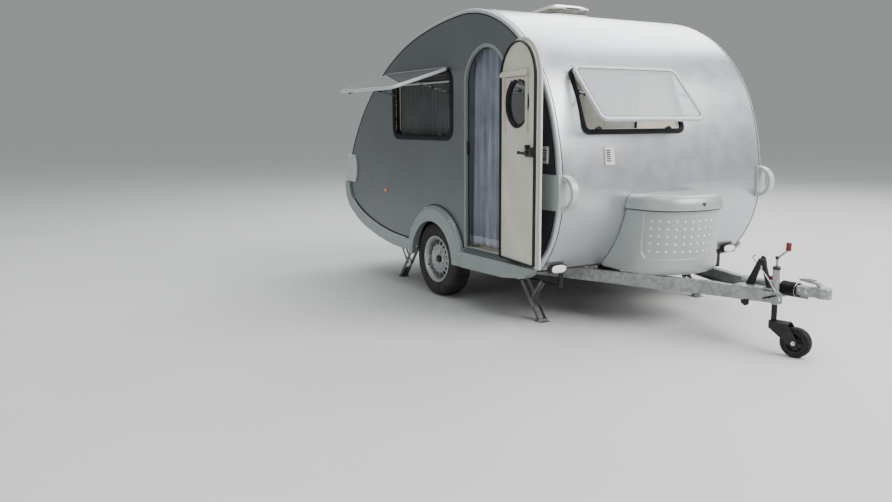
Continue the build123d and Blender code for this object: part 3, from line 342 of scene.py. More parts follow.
MAT["white_plastic"] = varied("white_plastic", hx(222, 222, 216), 0.38, 0.0, 0.03, 9.0, 0.07, 40.0, bump=0.08, bscale=900.0)
MAT["blind_plastic"] = varied("blind_plastic", hx(205, 202, 188), 0.42, 0.0, 0.04, 9.0, 0.07, 40.0, bump=0.08, bscale=900.0)
MAT["door_frame_plastic"] = varied("door_frame_plastic", hx(150, 155, 156), 0.35, 0.45, 0.04, 9.0, 0.06, 40.0, bump=0.06, bscale=700.0)
MAT["black_rubber"] = varied("black_rubber", (0.010, 0.010, 0.011), 0.62, 0.0, 0.3, 18.0, 0.12, 50.0, bump=0.25, bscale=700.0, dirt=0.1, spec=0.25)
MAT["tyre"] = varied("tyre", (0.022, 0.022, 0.023), 0.78, 0.0, 0.3, 14.0, 0.1, 60.0, bump=0.35, bscale=500.0, bdist=0.0006, dirt=0.28, dirt_top=0.62)
MAT["wheel_silver"] = varied("wheel_silver", (0.46, 0.47, 0.48), 0.34, 0.75, 0.06, 14.0, 0.1, 50.0, bump=0.08, bscale=700.0, dirt=0.35, dirt_top=0.55)
MAT["black_steel"] = varied("black_steel", (0.022, 0.022, 0.024), 0.5, 0.3, 0.25, 20.0, 0.12, 50.0, bump=0.2, bscale=300.0, dirt=0.12, dirt_top=0.5, spec=0.3)
MAT["floor_board"] = varied("floor_board", hx(78, 73, 66), 0.7, 0.0, 0.12, 5.0, 0.08, 30.0, bump=0.2, bscale=120.0, dirt=0.2)
MAT["pane_edge"] = varied("pane_edge", hx(196, 200, 202), 0.3, 0.0, 0.05, 20.0, 0.06, 50.0, coat=0.5, coat_rough=0.1)
MAT["lamp_clear"] = varied("lamp_clear", hx(236, 236, 232), 0.12, 0.0, 0.03, 40.0, 0.05, 30.0, coat=0.8, coat_rough=0.05)
MAT["lamp_red"] = varied("lamp_red", (0.42, 0.012, 0.01), 0.16, 0.0, 0.1, 30.0, 0.05, 30.0, coat=0.8, coat_rough=0.05)
MAT["reflector_orange"] = varied("reflector_orange", (0.75, 0.17, 0.015), 0.2, 0.0, 0.08, 60.0, 0.05, 30.0, bump=0.6, bscale=900.0, coat=0.8, coat_rough=0.05)
MAT["knob_red"] = varied("knob_red", (0.16, 0.012, 0.014), 0.38, 0.0, 0.15, 30.0, 0.08, 40.0, bump=0.1, bscale=600.0)
MAT["steel_bright"] = varied("steel_bright", (0.62, 0.62, 0.6), 0.24, 0.95, 0.08, 30.0, 0.08, 70.0, bump=0.1, bscale=500.0)


def galvanised(name="galvanised", k=1.0):
    M = Mat(name)
    M.set(metal=0.7)
    v = M.t.nodes.new("ShaderNodeTexVoronoi")
    v.inputs["Scale"].default_value = 55.0
    M.link(M.co, v.inputs["Vector"])
    sep = M.t.nodes.new("ShaderNodeSeparateColor")
    M.link(v.outputs["Color"], sep.inputs[0])
    # k below 1 darkens the spangle and stain colours: painted shade
    spangle = M.mix(sep.outputs[0], (0.30 * k, 0.315 * k, 0.315 * k), (0.46 * k, 0.475 * k, 0.475 * k))
    stain = M.ranged(M.noise(9.0, 7.0, 0.7), 0.0, 0.75, 0.48, 0.7)
    c = M.mix(stain, spangle, (0.25 * k, 0.26 * k, 0.24 * k))
    rust = M.math("MULTIPLY", M.ranged(M.noise(26.0, 8.0, 0.75), 0.0, 1.0, 0.62, 0.72), 0.35)
    c = M.mix(rust, c, (0.22, 0.12, 0.06))
    M.link(c, M.b.inputs["Base Color"])
    M.link(M.ranged(M.noise(40.0, 5.0), 0.38, 0.6), M.b.inputs["Roughness"])
    M.bump(M.noise(220.0, 4.0), 0.15, 0.0005)
    return M.m


MAT["galvanised"] = galvanised()
# darkened copy of the galvanised finish for the steadies: painted shade
MAT["zinc_painted_shade"] = galvanised("zinc_painted_shade", 0.5)


def glass(name, col, trans, rough, front_sky_gain=1.0):
    M = Mat(name)
    M.set(ior=1.49, trans=trans, coat=1.0, coat_rough=0.03)
    smear = M.ranged(M.noise(11.0, 6.0, 0.7, warp=1.0), 0.0, 1.0, 0.4, 0.75)
    tint = M.mix(smear, col, tuple(min(1.0, c * 1.12 + 0.01) for c in col))
    if front_sky_gain != 1.0:
        # the pane at the front is drawn paler: painted sky reflection
        tint = M.mix(M.math("GREATER_THAN", M.dot((1, 0, 0)), 0.84), tint, tuple(min(1.0, c * front_sky_gain) for c in col))
    M.link(tint, M.b.inputs["Base Color"])
    M.link(M.math("ADD", M.math("MULTIPLY", smear, 0.07), rough), M.b.inputs["Roughness"])
    M.bump(M.noise(2.5, 1.0), 0.04, 0.003)
    return M.m


# the last argument lightens the front pane as painted sky reflection
MAT["tinted_glass"] = glass("tinted_glass", (0.46, 0.48, 0.50), 0.62, 0.03, 2.0)
MAT["port_glass"] = glass("port_glass", (0.13, 0.15, 0.14), 0.8, 0.03)
MAT["dome_acrylic"] = glass("dome_acrylic", (0.82, 0.83, 0.82), 0.45, 0.3)


def wood():
    M = Mat("cabinet_wood")
    M.set(coat=0.1, coat_rough=0.3)
    g = M.noise(7.0, 6.0, 0.6, stretch=(1.0, 14.0, 14.0), warp=0.6)
    c = M.mix(M.ranged(g, 0.0, 1.0), hx(150, 118, 82), hx(196, 168, 130))
    M.link(c, M.b.inputs["Base Color"])
    M.link(M.ranged(g, 0.35, 0.5), M.b.inputs["Roughness"])
    M.bump(g, 0.08, 0.0005)
    return M.m


MAT["cabinet_wood"] = wood()


def fabric(name, col, col2, weave=900.0, sheen=0.3, trans=0.0, hem_z=None, hem_col=None):
    M = Mat(name)
    M.set(sheen=sheen, sheen_rough=0.4)
    big = M.ranged(M.noise(5.0, 5.0), 0.0, 1.0)
    c = M.mix(big, col, col2)
    if hem_z is not None:
        h = M.math("LESS_THAN", M.dot((0, 0, 1)), hem_z)
        c = M.mix(h, c, hem_col)
    wx, wy = M.wave(weave, "X"), M.wave(weave, "Z")
    w = M.math("ADD", wx, wy)
    c = M.mix(M.math("MULTIPLY", w, 0.06), c, tuple(x * 0.6 for x in col))
    M.link(c, M.b.inputs["Base Color"])
    M.link(M.ranged(M.noise(60.0, 4.0), 0.8, 0.95), M.b.inputs["Roughness"])
    M.bump(w, 0.35, 0.0004)
    if trans:
        mix = M.t.nodes.new("ShaderNodeMixShader")
        tr = M.t.nodes.new("ShaderNodeBsdfTranslucent")
        M.link(c, tr.inputs[0])
        mix.inputs[0].default_value = trans
        M.link(M.b.outputs[0], mix.inputs[1])
        M.link(tr.outputs[0], mix.inputs[2])
        M.link(mix.outputs[0], M.out.inputs[0])
    return M.m


MAT["curtain_fabric"] = fabric("curtain_fabric", hx(116, 122, 136), hx(146, 151, 163), 1400.0, 0.35, 0.0, 0.548, hx(178, 183, 192))
# the same net twice: dark on the right side as painted shade, light on the left as painted backlight with some real
# translucency
MAT["net_painted_shade"] = fabric("net_painted_shade", hx(80, 84, 85), hx(98, 102, 102), 1600.0, 0.2, 0.0)
MAT["net_painted_backlight"] = fabric("net_painted_backlight", hx(176, 178, 174), hx(196, 198, 193), 1600.0, 0.2, 0.45)
_n = MAT["net_painted_shade"].node_tree
_out = next(q for q in _n.nodes if q.type == "OUTPUT_MATERIAL")
_src = _out.inputs[0].links[0].from_socket
_mix, _tr = _n.nodes.new("ShaderNodeMixShader"), _n.nodes.new("ShaderNodeBsdfTransparent")
_mix.inputs[0].default_value = 0.12
_n.links.new(_src, _mix.inputs[1])
_n.links.new(_tr.outputs[0], _mix.inputs[2])
_n.links.new(_mix.outputs[0], _out.inputs[0])
MAT["seat_fabric"] = fabric("seat_fabric", hx(126, 122, 112), hx(146, 141, 130), 700.0, 0.35)

_a = math.radians(DOOR_OPEN)
DU = Vector((-math.cos(_a), -math.sin(_a), 0))
DN = Vector((-math.sin(_a), math.cos(_a), 0))


def door_leaf_material():
    M = Mat("door_liner")
    w = M.dot(tuple(DN), tuple(P(HINGE_X, HINGE_Y, 0)))
    inner = M.math("GREATER_THAN", w, 0.0194)
    outer = M.math("LESS_THAN", w, 0.0068)
    liner = M.mix(M.ranged(M.noise(4.0, 5.0), 0.0, 1.0), hx(196, 197, 180), hx(212, 212, 198))
    smudge = M.math("MULTIPLY", M.ranged(M.noise(9.0, 7.0, 0.7, stretch=(1, 1, 0.5)), 0.0, 1.0, 0.55, 0.8), 0.12)
    liner = M.mix(smudge, liner, hx(150, 148, 132))
    edge = M.mix(M.ranged(M.noise(30.0), 0.0, 1.0), hx(205, 208, 208), hx(220, 222, 221))
    # outer skin: the darkened wall colour, painted shade like the side walls
    c = M.mix(inner, M.mix(outer, edge, (0.165, 0.18, 0.192)), liner)
    M.link(c, M.b.inputs["Base Color"])
    M.link(M.math("MULTIPLY", outer, 0.7), M.b.inputs["Metallic"])
    M.link(M.ranged(M.noise(40.0, 4.0), 0.42, 0.56), M.b.inputs["Roughness"])
    M.bump(M.noise(420.0, 3.0), 0.15, 0.0004)
    return M.m


MAT["door_liner"] = door_leaf_material()

by_slot = {}
for entry in frame["record"].get("materials", []):
    for n in entry.get("nodes", entry.get("applies_to", [])) or []:
        by_slot[n] = entry.get("slot")

# one finish a node
NODE_MAT = {
    "side_wall_left": "wall_paint", "side_wall_right": "wall_paint",
    "front_panel": "silver_paint", "roof_panel": "silver_paint", "rear_panel": "silver_paint", "rear_lower_panel": "silver_paint",
    "edge_trims": "trim_aluminium", "lower_skirts": "skirt_plastic", "fenders": "skirt_plastic", "wheel_boxes": "black_plastic",
    "floor_panel": "floor_board", "door_frame": "door_frame_plastic", "door_leaf": "door_liner", "door_window": "port_glass",
    "door_blind": "blind_plastic", "door_latch": "black_plastic", "door_hinges": "trim_aluminium", "window_panes": "tinted_glass",
    "window_frames": "black_rubber", "roof_hatch_frame": "white_plastic", "roof_hatch_lid": "dome_acrylic",
    "front_box": "box_plastic", "front_box_lid": "box_plastic", "cross_members": "galvanised", "axle_beam": "galvanised",
    "swing_arms": "galvanised", "overrun_housing": "galvanised", "bellows": "black_rubber", "coupling_head": "galvanised",
    "coupling_handle": "galvanised", "handbrake_lever": "black_steel", "jockey_clamp": "galvanised", "jockey_tube": "black_steel",
    "jockey_fork": "black_steel", "jockey_wheel": "black_rubber", "steady_brackets": "black_steel", "grab_handles": "handle_plastic",
    "front_lamps": "black_plastic", "rear_lamps": "lamp_red", "vent_plates": "white_plastic", "bench_boxes": "cabinet_wood",
    "seat_cushions": "seat_fabric", "kitchen_unit": "cabinet_wood", "curtains": "curtain_fabric", "cabin_table": "cabinet_wood",
    "chassis_rail_left": "galvanised", "chassis_rail_right": "galvanised",
    "tyre_left": "tyre", "tyre_right": "tyre", "rim_left": "wheel_silver", "rim_right": "wheel_silver",
}
for q in ("front_right", "front_left", "rear_right", "rear_left"):
    # steadies take the darkened zinc: painted shade
    NODE_MAT["steady_leg_" + q] = "zinc_painted_shade"
    NODE_MAT["steady_link_" + q] = "zinc_painted_shade"
for n, o in NODES.items():
    mat = MAT[NODE_MAT[n]]
    if len(o.data.materials) == 0:
        o.data.materials.append(mat)
    for s in o.material_slots:
        s.material = mat


def soften(node, width, angle=38.0, segments=2):
    """Rounded edges on a CAD node by modifiers only."""
    o = NODES[node]
    w = o.modifiers.new("weld", "WELD")
    w.merge_threshold = 0.00002
    b = o.modifiers.new("round", "BEVEL")
    b.width = width
    b.segments = segments
    b.limit_method = "ANGLE"
    b.angle_limit = math.radians(angle)
    b.use_clamp_overlap = True
    n = o.modifiers.new("normals", "WEIGHTED_NORMAL")
    n.keep_sharp = False
    n.weight = 60


# ---------------------------------------------------------------- mesh helpers
def add(name, verts, faces, mat, body, smooth=35.0, slot=None):
    me = bpy.data.meshes.new(name)
    me.from_pydata([tuple(v) for v in verts], [], faces)
    me.validate()
    bm = bmesh.new()
    bm.from_mesh(me)
    bmesh.ops.remove_doubles(bm, verts=bm.verts, dist=1e-6)
    bmesh.ops.recalc_face_normals(bm, faces=bm.faces)
    bm.to_mesh(me)
    bm.free()
    return finish_mesh(name, me, mat, body, smooth)


def finish_mesh(name, me, mat, body, smooth=35.0):
    for p in me.polygons:
        p.use_smooth = True
    if smooth < 179:
        me.set_sharp_from_angle(angle=math.radians(smooth))
    me.materials.append(MAT[mat])
    o = bpy.data.objects.new(name, me)
    bpy.context.scene.collection.objects.link(o)
    if body:
        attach(o, body)
    return o


def merge(name, parts, mat, body, smooth=35.0, slot=None, weld=True):
    """One object from several (verts, faces) lists."""
    verts, faces = [], []
    for vs, fs in parts:
        k = len(verts)
        verts += list(vs)
        faces += [tuple(i + k for i in f) for f in fs]
    return add(name, verts, faces, mat, body, smooth, slot)


def frame_of(origin, ex, ey):
    """Maps local mm (u, v, w) to the row frame."""
    o, ex, ey = Vector(origin), Vector(ex).normalized(), Vector(ey).normalized()
    ez = ex.cross(ey)
    return lambda u, v, w=0.0: o + (ex * u + ey * v + ez * w) / 1000.0


def side_frame(y, s):
    """Local (x, z, outwards) on a side of the body, x in mm from the axle."""
    return lambda u, v, w=0.0: P(u, y + s * w, v)


def skin_frame(i, part, y=0.0, inset=0.0):
    """Local (y, up the skin, outwards) at a place of the outline."""
    x, z, h = on_outline(i, part, inset)
    h = math.radians(h)
    n = Vector((-math.sin(h), 0, math.cos(h)))
    up = Vector((-math.cos(h), 0, -math.sin(h)))
    if up.z < 0:
        up = -up
    o = P(x, y, z)
    return lambda u, v, w=0.0: o + (Vector((0, 1, 0)) * u + up * v + n * w) / 1000.0


def door_frame_at(u, v, w=0.0):
    """Local (from the hinge, up, inwards) on the open door."""
    o = P(HINGE_X, HINGE_Y, 0)
    return o + (DU * u + Vector((0, 0, 1)) * v + DN * w) / 1000.0


def rrect(w, h, r, cx=0.0, cy=0.0, n=8):
    pts = []
    for qx, qy, a0 in ((1, 1, 0), (-1, 1, 90), (-1, -1, 180), (1, -1, 270)):
        for k in range(n + 1):
            a = math.radians(a0 + 90 * k / n)
            pts.append((cx + qx * (w / 2 - r) + r * math.cos(a), cy + qy * (h / 2 - r) + r * math.sin(a)))
    return pts


def circle(r, n=40, cx=0.0, cy=0.0):
    return [(cx + r * math.cos(2 * math.pi * k / n), cy + r * math.sin(2 * math.pi * k / n)) for k in range(n)]


def arch(cx, w, z0, spring, n=36, corner=12.0):
    """Arched door outline, anticlockwise from its lower right corner."""
    r = w / 2
    pts = [(cx + r, z0 + corner)]
    for k in range(n + 1):
        a = math.pi * k / n
        pts.append((cx + r * math.cos(a), spring + r * math.sin(a)))
    pts += [(cx - r, z0 + corner)]
    for k in range(1, 5):
        a = math.pi + math.pi / 2 * k / 5
        pts.append((cx - r + corner + corner * math.cos(a), z0 + corner + corner * math.sin(a)))
    pts += [(cx - r + corner, z0), (cx + r - corner, z0)]
    for k in range(1, 5):
        a = 1.5 * math.pi + math.pi / 2 * k / 5
        pts.append((cx + r - corner + corner * math.cos(a), z0 + corner + corner * math.sin(a)))
    return pts


def loop_sweep(loop, profile, T, closed=True):
    """Profile (outwards from the loop, off its plane) swept round a flat loop."""
    n = len(loop)
    verts, faces = [], []
    area = sum(loop[i][0] * loop[(i + 1) % n][1] - loop[(i + 1) % n][0] * loop[i][1] for i in range(n))
    sgn = 1 if area > 0 else -1
    for i in range(n):
        a, b, c = Vector(loop[i - 1]), Vector(loop[i]), Vector(loop[(i + 1) % n])
        if not closed and i == 0:
            a = b - (c - b)
        if not closed and i == n - 1:
            c = b + (b - a)
        d1, d2 = (b - a).normalized(), (c - b).normalized()
        n1, n2 = Vector((d1.y, -d1.x)) * sgn, Vector((d2.y, -d2.x)) * sgn
        m = (n1 + n2)
        m = m / max(0.3, m.dot(n1)) if m.length > 1e-6 else n1
        for pu, pw in profile:
            q = b + m * pu
            verts.append(T(q.x, q.y, pw))
    k = len(profile)
    for i in range(n if closed else n - 1):
        j = (i + 1) % n
        for q in range(k):
            p2 = (q + 1) % k
            faces.append((i * k + q, i * k + p2, j * k + p2, j * k + q))
    if not closed:
        faces.append(tuple(range(k)))
        faces.append(tuple((n - 1) * k + q for q in reversed(range(k))))
    return verts, faces


def arc_path(p1, p2, p3, n=20):
    """Points on the circle through three points."""
    ax, ay, bx, by, cx, cy = *p1, *p2, *p3
    d = 2 * (ax * (by - cy) + bx * (cy - ay) + cx * (ay - by))
    ux = ((ax * ax + ay * ay) * (by - cy) + (bx * bx + by * by) * (cy - ay) + (cx * cx + cy * cy) * (ay - by)) / d
    uy = ((ax * ax + ay * ay) * (cx - bx) + (bx * bx + by * by) * (ax - cx) + (cx * cx + cy * cy) * (bx - ax)) / d
    a1, a2, a3 = (math.atan2(y - uy, x - ux) for x, y in (p1, p2, p3))
    r = math.hypot(ax - ux, ay - uy)
    s13 = (a3 - a1) % (2 * math.pi)
    s12 = (a2 - a1) % (2 * math.pi)
    if s12 > s13:
        s13 -= 2 * math.pi
    return [(ux + r * math.cos(a1 + s13 * k / n), uy + r * math.sin(a1 + s13 * k / n)) for k in range(n + 1)]


def smooth_path(pts, r, n=6):
    """Rounds the corners of a path of row-frame points."""
    out = [Vector(pts[0])]
    for a, b, c in zip(pts, pts[1:], pts[2:]):
        a, b, c = Vector(a), Vector(b), Vector(c)
        q = min(r / 1000.0, (b - a).length * 0.45, (c - b).length * 0.45)
        s, e = b + (a - b).normalized() * q, b + (c - b).normalized() * q
        for k in range(n + 1):
            t = k / n
            out.append(s * (1 - t) ** 2 + b * 2 * t * (1 - t) + e * t * t)
    out.append(Vector(pts[-1]))
    return out


def tube(path, r, n=12, closed=False, flat=None):
    """Round (or oval) bar along row-frame points; r in mm, or one a point."""
    pts = [Vector(p) for p in path]
    rs = list(r) if hasattr(r, "__len__") else [r] * len(pts)
    verts, faces = [], []
    ref = None
    for i, p in enumerate(pts):
        if closed:
            t = (pts[(i + 1) % len(pts)] - pts[i - 1]).normalized()
        else:
            t = (pts[min(i + 1, len(pts) - 1)] - pts[max(i - 1, 0)]).normalized()
        if ref is None:
            ref = t.orthogonal().normalized() if flat is None else Vector(flat)
        ref = (ref - t * ref.dot(t)).normalized()
        bi = t.cross(ref)
        for k in range(n):
            a = 2 * math.pi * k / n
            rr = rs[i] / 1000.0
            verts.append(p + ref * rr * math.cos(a) + bi * rr * math.sin(a))
    for i in range(len(pts) if closed else len(pts) - 1):
        j = (i + 1) % len(pts)
        for k in range(n):
            l = (k + 1) % n
            faces.append((i * n + k, i * n + l, j * n + l, j * n + k))
    if not closed:
        faces.append(tuple(reversed(range(n))))
        faces.append(tuple((len(pts) - 1) * n + k for k in range(n)))
    return verts, faces


def lathe(profile, T, n=64, a0=0.0, a1=360.0, closed_profile=False):
    """Profile rows (along the axis, radius) turned; T maps (cos*r, sin*r, axial)."""
    full = abs(a1 - a0 - 360) < 1e-6
    cols = n if full else n + 1
    verts, faces = [], []
    for c in range(cols):
        a = math.radians(a0 + (a1 - a0) * c / n)
        for ax, r in profile:
            verts.append(T(r * math.cos(a), r * math.sin(a), ax))
    k = len(profile)
    for c in range(n):
        d = (c + 1) % cols
        for q in range(k if closed_profile else k - 1):
            p2 = (q + 1) % k
            faces.append((c * k + q, c * k + p2, d * k + p2, d * k + q))
    return verts, faces


def prism(loop, T, w0, w1, bevel=2.0, seg=2):
    """Plate with rounded edges: a flat loop between two heights, its rims drawn in."""
    n = len(loop)
    area = sum(loop[i][0] * loop[(i + 1) % n][1] - loop[(i + 1) % n][0] * loop[i][1] for i in range(n))
    if area < 0:
        loop = loop[::-1]
    bevel = min(bevel, abs(w1 - w0) / 2 * 0.98)
    sg = 1 if w1 > w0 else -1
    rows = []
    for k in range(seg + 1):
        a = math.pi / 2 * k / seg
        rows.append((-bevel * (1 - math.sin(a)), w0 + sg * bevel * (1 - math.cos(a))))
    for k in range(seg + 1):
        a = math.pi / 2 * k / seg
        rows.append((-bevel * (1 - math.cos(a)), w1 - sg * bevel * (1 - math.sin(a))))
    verts = []
    for pu, pw in rows:
        for i in range(n):
            a, b, c = Vector(loop[i - 1]), Vector(loop[i]), Vector(loop[(i + 1) % n])
            d1, d2 = (b - a), (c - b)
            if d1.length < 1e-6 or d2.length < 1e-6:
                d1 = d2 = (c - a)
            d1, d2 = d1.normalized(), d2.normalized()
            n1, n2 = Vector((d1.y, -d1.x)), Vector((d2.y, -d2.x))
            m = n1 + n2
            m = m / max(0.5, m.dot(n1)) if m.length > 1e-6 else n1
            q = b + m * pu
            verts.append(T(q.x, q.y, pw))
    faces = []
    for r in range(len(rows) - 1):
        for i in range(n):
            j = (i + 1) % n
            faces.append((r * n + i, r * n + j, (r + 1) * n + j, (r + 1) * n + i))
    faces.append(tuple(reversed(range(n))))
    faces.append(tuple((len(rows) - 1) * n + i for i in range(n)))
    return verts, faces


def box_part(T, u, v, w, r=2.0):
    """Rounded block: ranges of u, v, w."""
    cx, cy = (u[0] + u[1]) / 2, (v[0] + v[1]) / 2
    lw, lh = abs(u[1] - u[0]), abs(v[1] - v[0])
    return prism(rrect(lw, lh, min(r, lw / 2.1, lh / 2.1), cx, cy, 4), T, w[0], w[1], min(r, 3.0))


def dome(T, cx, cy, r, w0, h, n=20, rings=5):
    """Shallow round cap."""
    rows = []
    for k in range(rings):
        a = math.pi / 2 * k / rings
        rows.append((w0 + h * math.sin(a), r * math.cos(a)))
    verts, faces = [], []
    for ax, rr in rows:
        for i in range(n):
            a = 2 * math.pi * i / n
            verts.append(T(cx + rr * math.cos(a), cy + rr * math.sin(a), ax))
    top = len(verts)
    verts.append(T(cx, cy, w0 + h))
    for k in range(rings - 1):
        for i in range(n):
            j = (i + 1) % n
            faces.append((k * n + i, k * n + j, (k + 1) * n + j, (k + 1) * n + i))
    for i in range(n):
        faces.append(((rings - 1) * n + i, (rings - 1) * n + (i + 1) % n, top))
    faces.append(tuple(reversed(range(n))))
    return verts, faces


def bolt(T, cx, cy, w0, af=13.0, h=6.0):
    """Hexagon head on a washer."""
    a = prism(circle(af * 0.95, 18, cx, cy), T, w0, w0 + 1.6, 0.4, 1)
    b = prism(circle(af / 2 / math.cos(math.pi / 6), 6, cx, cy), T, w0 + 1.6, w0 + 1.6 + h, 0.8, 1)
    return join(a, b)


def join(*parts):
    verts, faces = [], []
    for vs, fs in parts:
        k = len(verts)
        verts += list(vs)
        faces += [tuple(i + k for i in f) for f in fs]
    return verts, faces


# ---------------------------------------------------------------- body trims and seals
def along_outline(first, last, inset, y, s, profile, step=40.0, p0=0.0, p1=1.0):
    """Profile rows (out of the skin, outwards in y) carried along the outline on side s."""
    run = outline_run(first, last, step, p0, p1)
    verts, faces = [], []
    for i, p in run:
        x, z, h = on_outline(i, p, inset)
        h = math.radians(h)
        for a, b in profile:
            verts.append(P(x - a * math.sin(h), s * (y + b), z + a * math.cos(h)))
    k = len(profile)
    for i in range(len(run) - 1):
        for q in range(k):
            r = (q + 1) % k
            faces.append((i * k + q, i * k + r, (i + 1) * k + r, (i + 1) * k + q))
    faces.append(tuple(range(k)))
    faces.append(tuple((len(run) - 1) * k + q for q in range(k)))
    return verts, faces


def half_round(w, h, n=6, dip=0.5):
    """Half-round strip, w wide and h proud, sunk a little: rows (across, out)."""
    return [(w / 2 * math.cos(math.pi * k / n), h * math.sin(math.pi * k / n)) for k in range(n + 1)] + [(-w / 2, -dip), (w / 2, -dip)]


parts = []
for s in (-1, 1):
    # rubber line between the corner trim and the side wall
    prof = [(a, b) for a, b in half_round(9, 3.5)]
    parts.append(along_outline(4, 12, TRIM, HALF, s, prof))
    # rubber line between the corner trim and the panels across
    prof = [(b, a) for a, b in half_round(6.5, 2.2)]
    parts.append(along_outline(4, 12, 0.0, INNER - 1.0, s, prof))
merge("body_seam_rubber", parts, "black_rubber", "caravan", 60, "black_rubber")

parts = []
for s in (-1, 1):
    # polished cap strip on the upper edge of the rear skirt
    prof = [(a, b) for a, b in half_round(12, 5)]
    parts.append(along_outline(0, 3, 98.0, HALF + 13.0, s, prof, p0=0.12, p1=1.0))
merge("skirt_cap_strips", parts, "trim_aluminium", "caravan", 60, "trim_aluminium")
parts = []
for s in (-1, 1):
    prof = [(a, b) for a, b in half_round(8, 4)]
    parts.append(along_outline(0, 3, 107.0, HALF, s, prof, p0=0.12, p1=1.0))
merge("skirt_cap_rubber", parts, "black_rubber", "caravan", 60, "black_rubber")

# ribbed tread on the sill's sloping ledge
parts = []
for s in (-1, 1):
    for q, (dy, dz) in enumerate(((11.0, 0.0), (20.0, -8.9), (29.0, -17.8), (37.5, -25.6))):
        y, z = HALF + dy, 462.0 + dz + 0.5
        x1 = 1395.0 - q * 6
        path = [P(565, s * y, z), P(x1, s * y, z)]
        parts.append(tube(path, 2.4, 8))
merge("sill_ribs", parts, "black_rubber", "caravan", 60, "black_rubber")

# rubber between the flare and the wall, caps over its screws
parts = []
for s in (-1, 1):
    T = side_frame(s * HALF, s)
    loop = [(FENDER_X + (FENDER_R + 2) * math.cos(math.radians(a)), FENDER_Z + (FENDER_R + 2) * math.sin(math.radians(a)))
            for a in np.linspace(1 if s else 0, 165, 70)]
    parts.append(loop_sweep(loop, half_round(7, 4), T, closed=False))
merge("flare_rubber", parts, "black_rubber", "caravan", 60, "black_rubber")
parts = []
for s in (-1, 1):
    T = side_frame(s * (HALF + 37), s)
    for a in (108.0, 52.0, 12.0, 150.0):
        r = FENDER_R - 16
        cx, cz = FENDER_X + r * math.cos(math.radians(a)), FENDER_Z + r * math.sin(math.radians(a))
        parts.append(dome(T, cx, cz, 9.5, -4.0, 8.0))
merge("flare_screw_caps", parts, "trim_aluminium", "caravan", 60, "skirt_plastic")

# reflectors on the side walls
for side, s in (("right", -1), ("left", 1)):
    T = side_frame(s * HALF, s)
    a = prism(rrect(58, 26, 12, -771, 813, 6), T, 0, 6, 2.5, 3)
    add("side_reflector_" + side, *a, "reflector_orange", "caravan", 50)

# ---------------------------------------------------------------- vents
parts = []
T = side_frame(-HALF, -1)
for k in range(6):
    z = 1195 + 38 - k * 15.2
    parts.append(prism(rrect(74, 5.0, 2.2, 1500, z, 3), T, 8.0, 10.5, 1.2, 2))
merge("side_vent_slats", parts, "white_plastic", "caravan", 40, "white_plastic")
parts = []
for k in range(5):
    z = 1195 + 30.4 - k * 15.2
    parts.append(prism(rrect(74, 7.6, 3.0, 1500, z, 3), T, 7.0, 8.4, 0.4, 1))
merge("side_vent_slots", parts, "black_plastic", "caravan", 40, "black_plastic")
parts = [loop_sweep(rrect(96, 106, 9, 1500, 1195), [(0, 6), (2, 8), (0, 10), (-4, 10.6), (-7, 10), (-8, 8)], T)]
merge("side_vent_rim", parts, "white_plastic", "caravan", 40, "white_plastic")

T = skin_frame(10, 0.627, -556.0, -0.3)
parts = [loop_sweep(rrect(80, 124, 11), [(0, 6), (2, 8), (0, 10.5), (-5, 11), (-8, 10), (-9, 8)], T),
         prism(rrect(26, 98, 5, 24, 0, 5), T, 7.5, 9.4, 1.0, 2)]
parts += [prism(rrect(40, 5.5, 2.4, -12, -42 + k * 14.0, 3), T, 7.8, 11.0, 1.2, 2) for k in range(7)]
merge("front_vent_cover", parts, "white_plastic", "caravan", 40, "white_plastic")
parts = [prism(rrect(40, 9.0, 2.0, -12, -35 + k * 14.0, 3), T, 7.4, 8.6, 0.3, 1) for k in range(6)]
merge("front_vent_slots", parts, "black_plastic", "caravan", 40, "black_plastic")

# ---------------------------------------------------------------- doorway
T = side_frame(-HALF, -1)
loop = arch(DOOR_X, DOOR_W + 20, DOOR_Z0 + 2, DOOR_SPRING, 40)
merge("doorway_edge", [loop_sweep(loop, [(15, 2.5), (15, 4), (10, 6.5), (2, 6.5), (-4, 5), (-4, 2.5)], T)],
      "door_frame_plastic", "caravan", 40, "door_frame_plastic")
loop = arch(DOOR_X, DOOR_W, DOOR_Z0, DOOR_SPRING, 40)
merge("doorway_seal", [loop_sweep(loop, [(0.4, -16), (-2, -18), (-2.9, -23), (-2, -28), (0.4, -30)], T)],
      "black_rubber", "caravan", 60, "black_rubber")
# strike plate and threshold strip
T2 = frame_of(P(DOOR_X - DOOR_W / 2, -968, 1217), (0, 1, 0), (0, 0, 1))
merge("door_strike", [box_part(T2, (-16, 10), (-48, 48), (-1, 2), 1), box_part(T2, (-9, 3), (-22, 22), (1, 3.2), 1)],
      "black_plastic", "caravan", 40, "black_plastic")
Tt = frame_of(P(DOOR_X, -972, DOOR_Z0), (1, 0, 0), (0, 1, 0))
merge("door_threshold", [box_part(Tt, (-246, 246), (-14, 15), (-6, 2.2), 1.5)]
      + [box_part(Tt, (-240, 240), (y - 1.6, y + 1.6), (1.5, 4.0), 1.2) for y in (-9, -3, 3, 9)],
      "trim_aluminium", "caravan", 40, "trim_aluminium")

# door leaf seals: round the inner slab, and along the outer slab's rim
loop = arch(280, 494, 476, DOOR_SPRING, 44, 10)
merge("door_seal", [loop_sweep(loop, [(0, 36), (1.8, 36.5), (2.2, 46), (0.8, 53), (-3, 57), (-9, 54), (-11, 47), (-10, 43.3), (-2, 43.0), (0, 42)], door_frame_at)],
      "black_rubber", "door", 60, "black_rubber")
loop = arch(282, 538, 468, DOOR_SPRING, 44, 10)
merge("door_edge_bead", [loop_sweep(loop, [(0.2, 7), (3.0, 9), (3.5, 13), (2.5, 17), (-1, 20.6), (-7, 20.6), (-8, 19.2), (0.1, 19.2)], door_frame_at)],
      "white_plastic", "door", 60, "white_plastic")

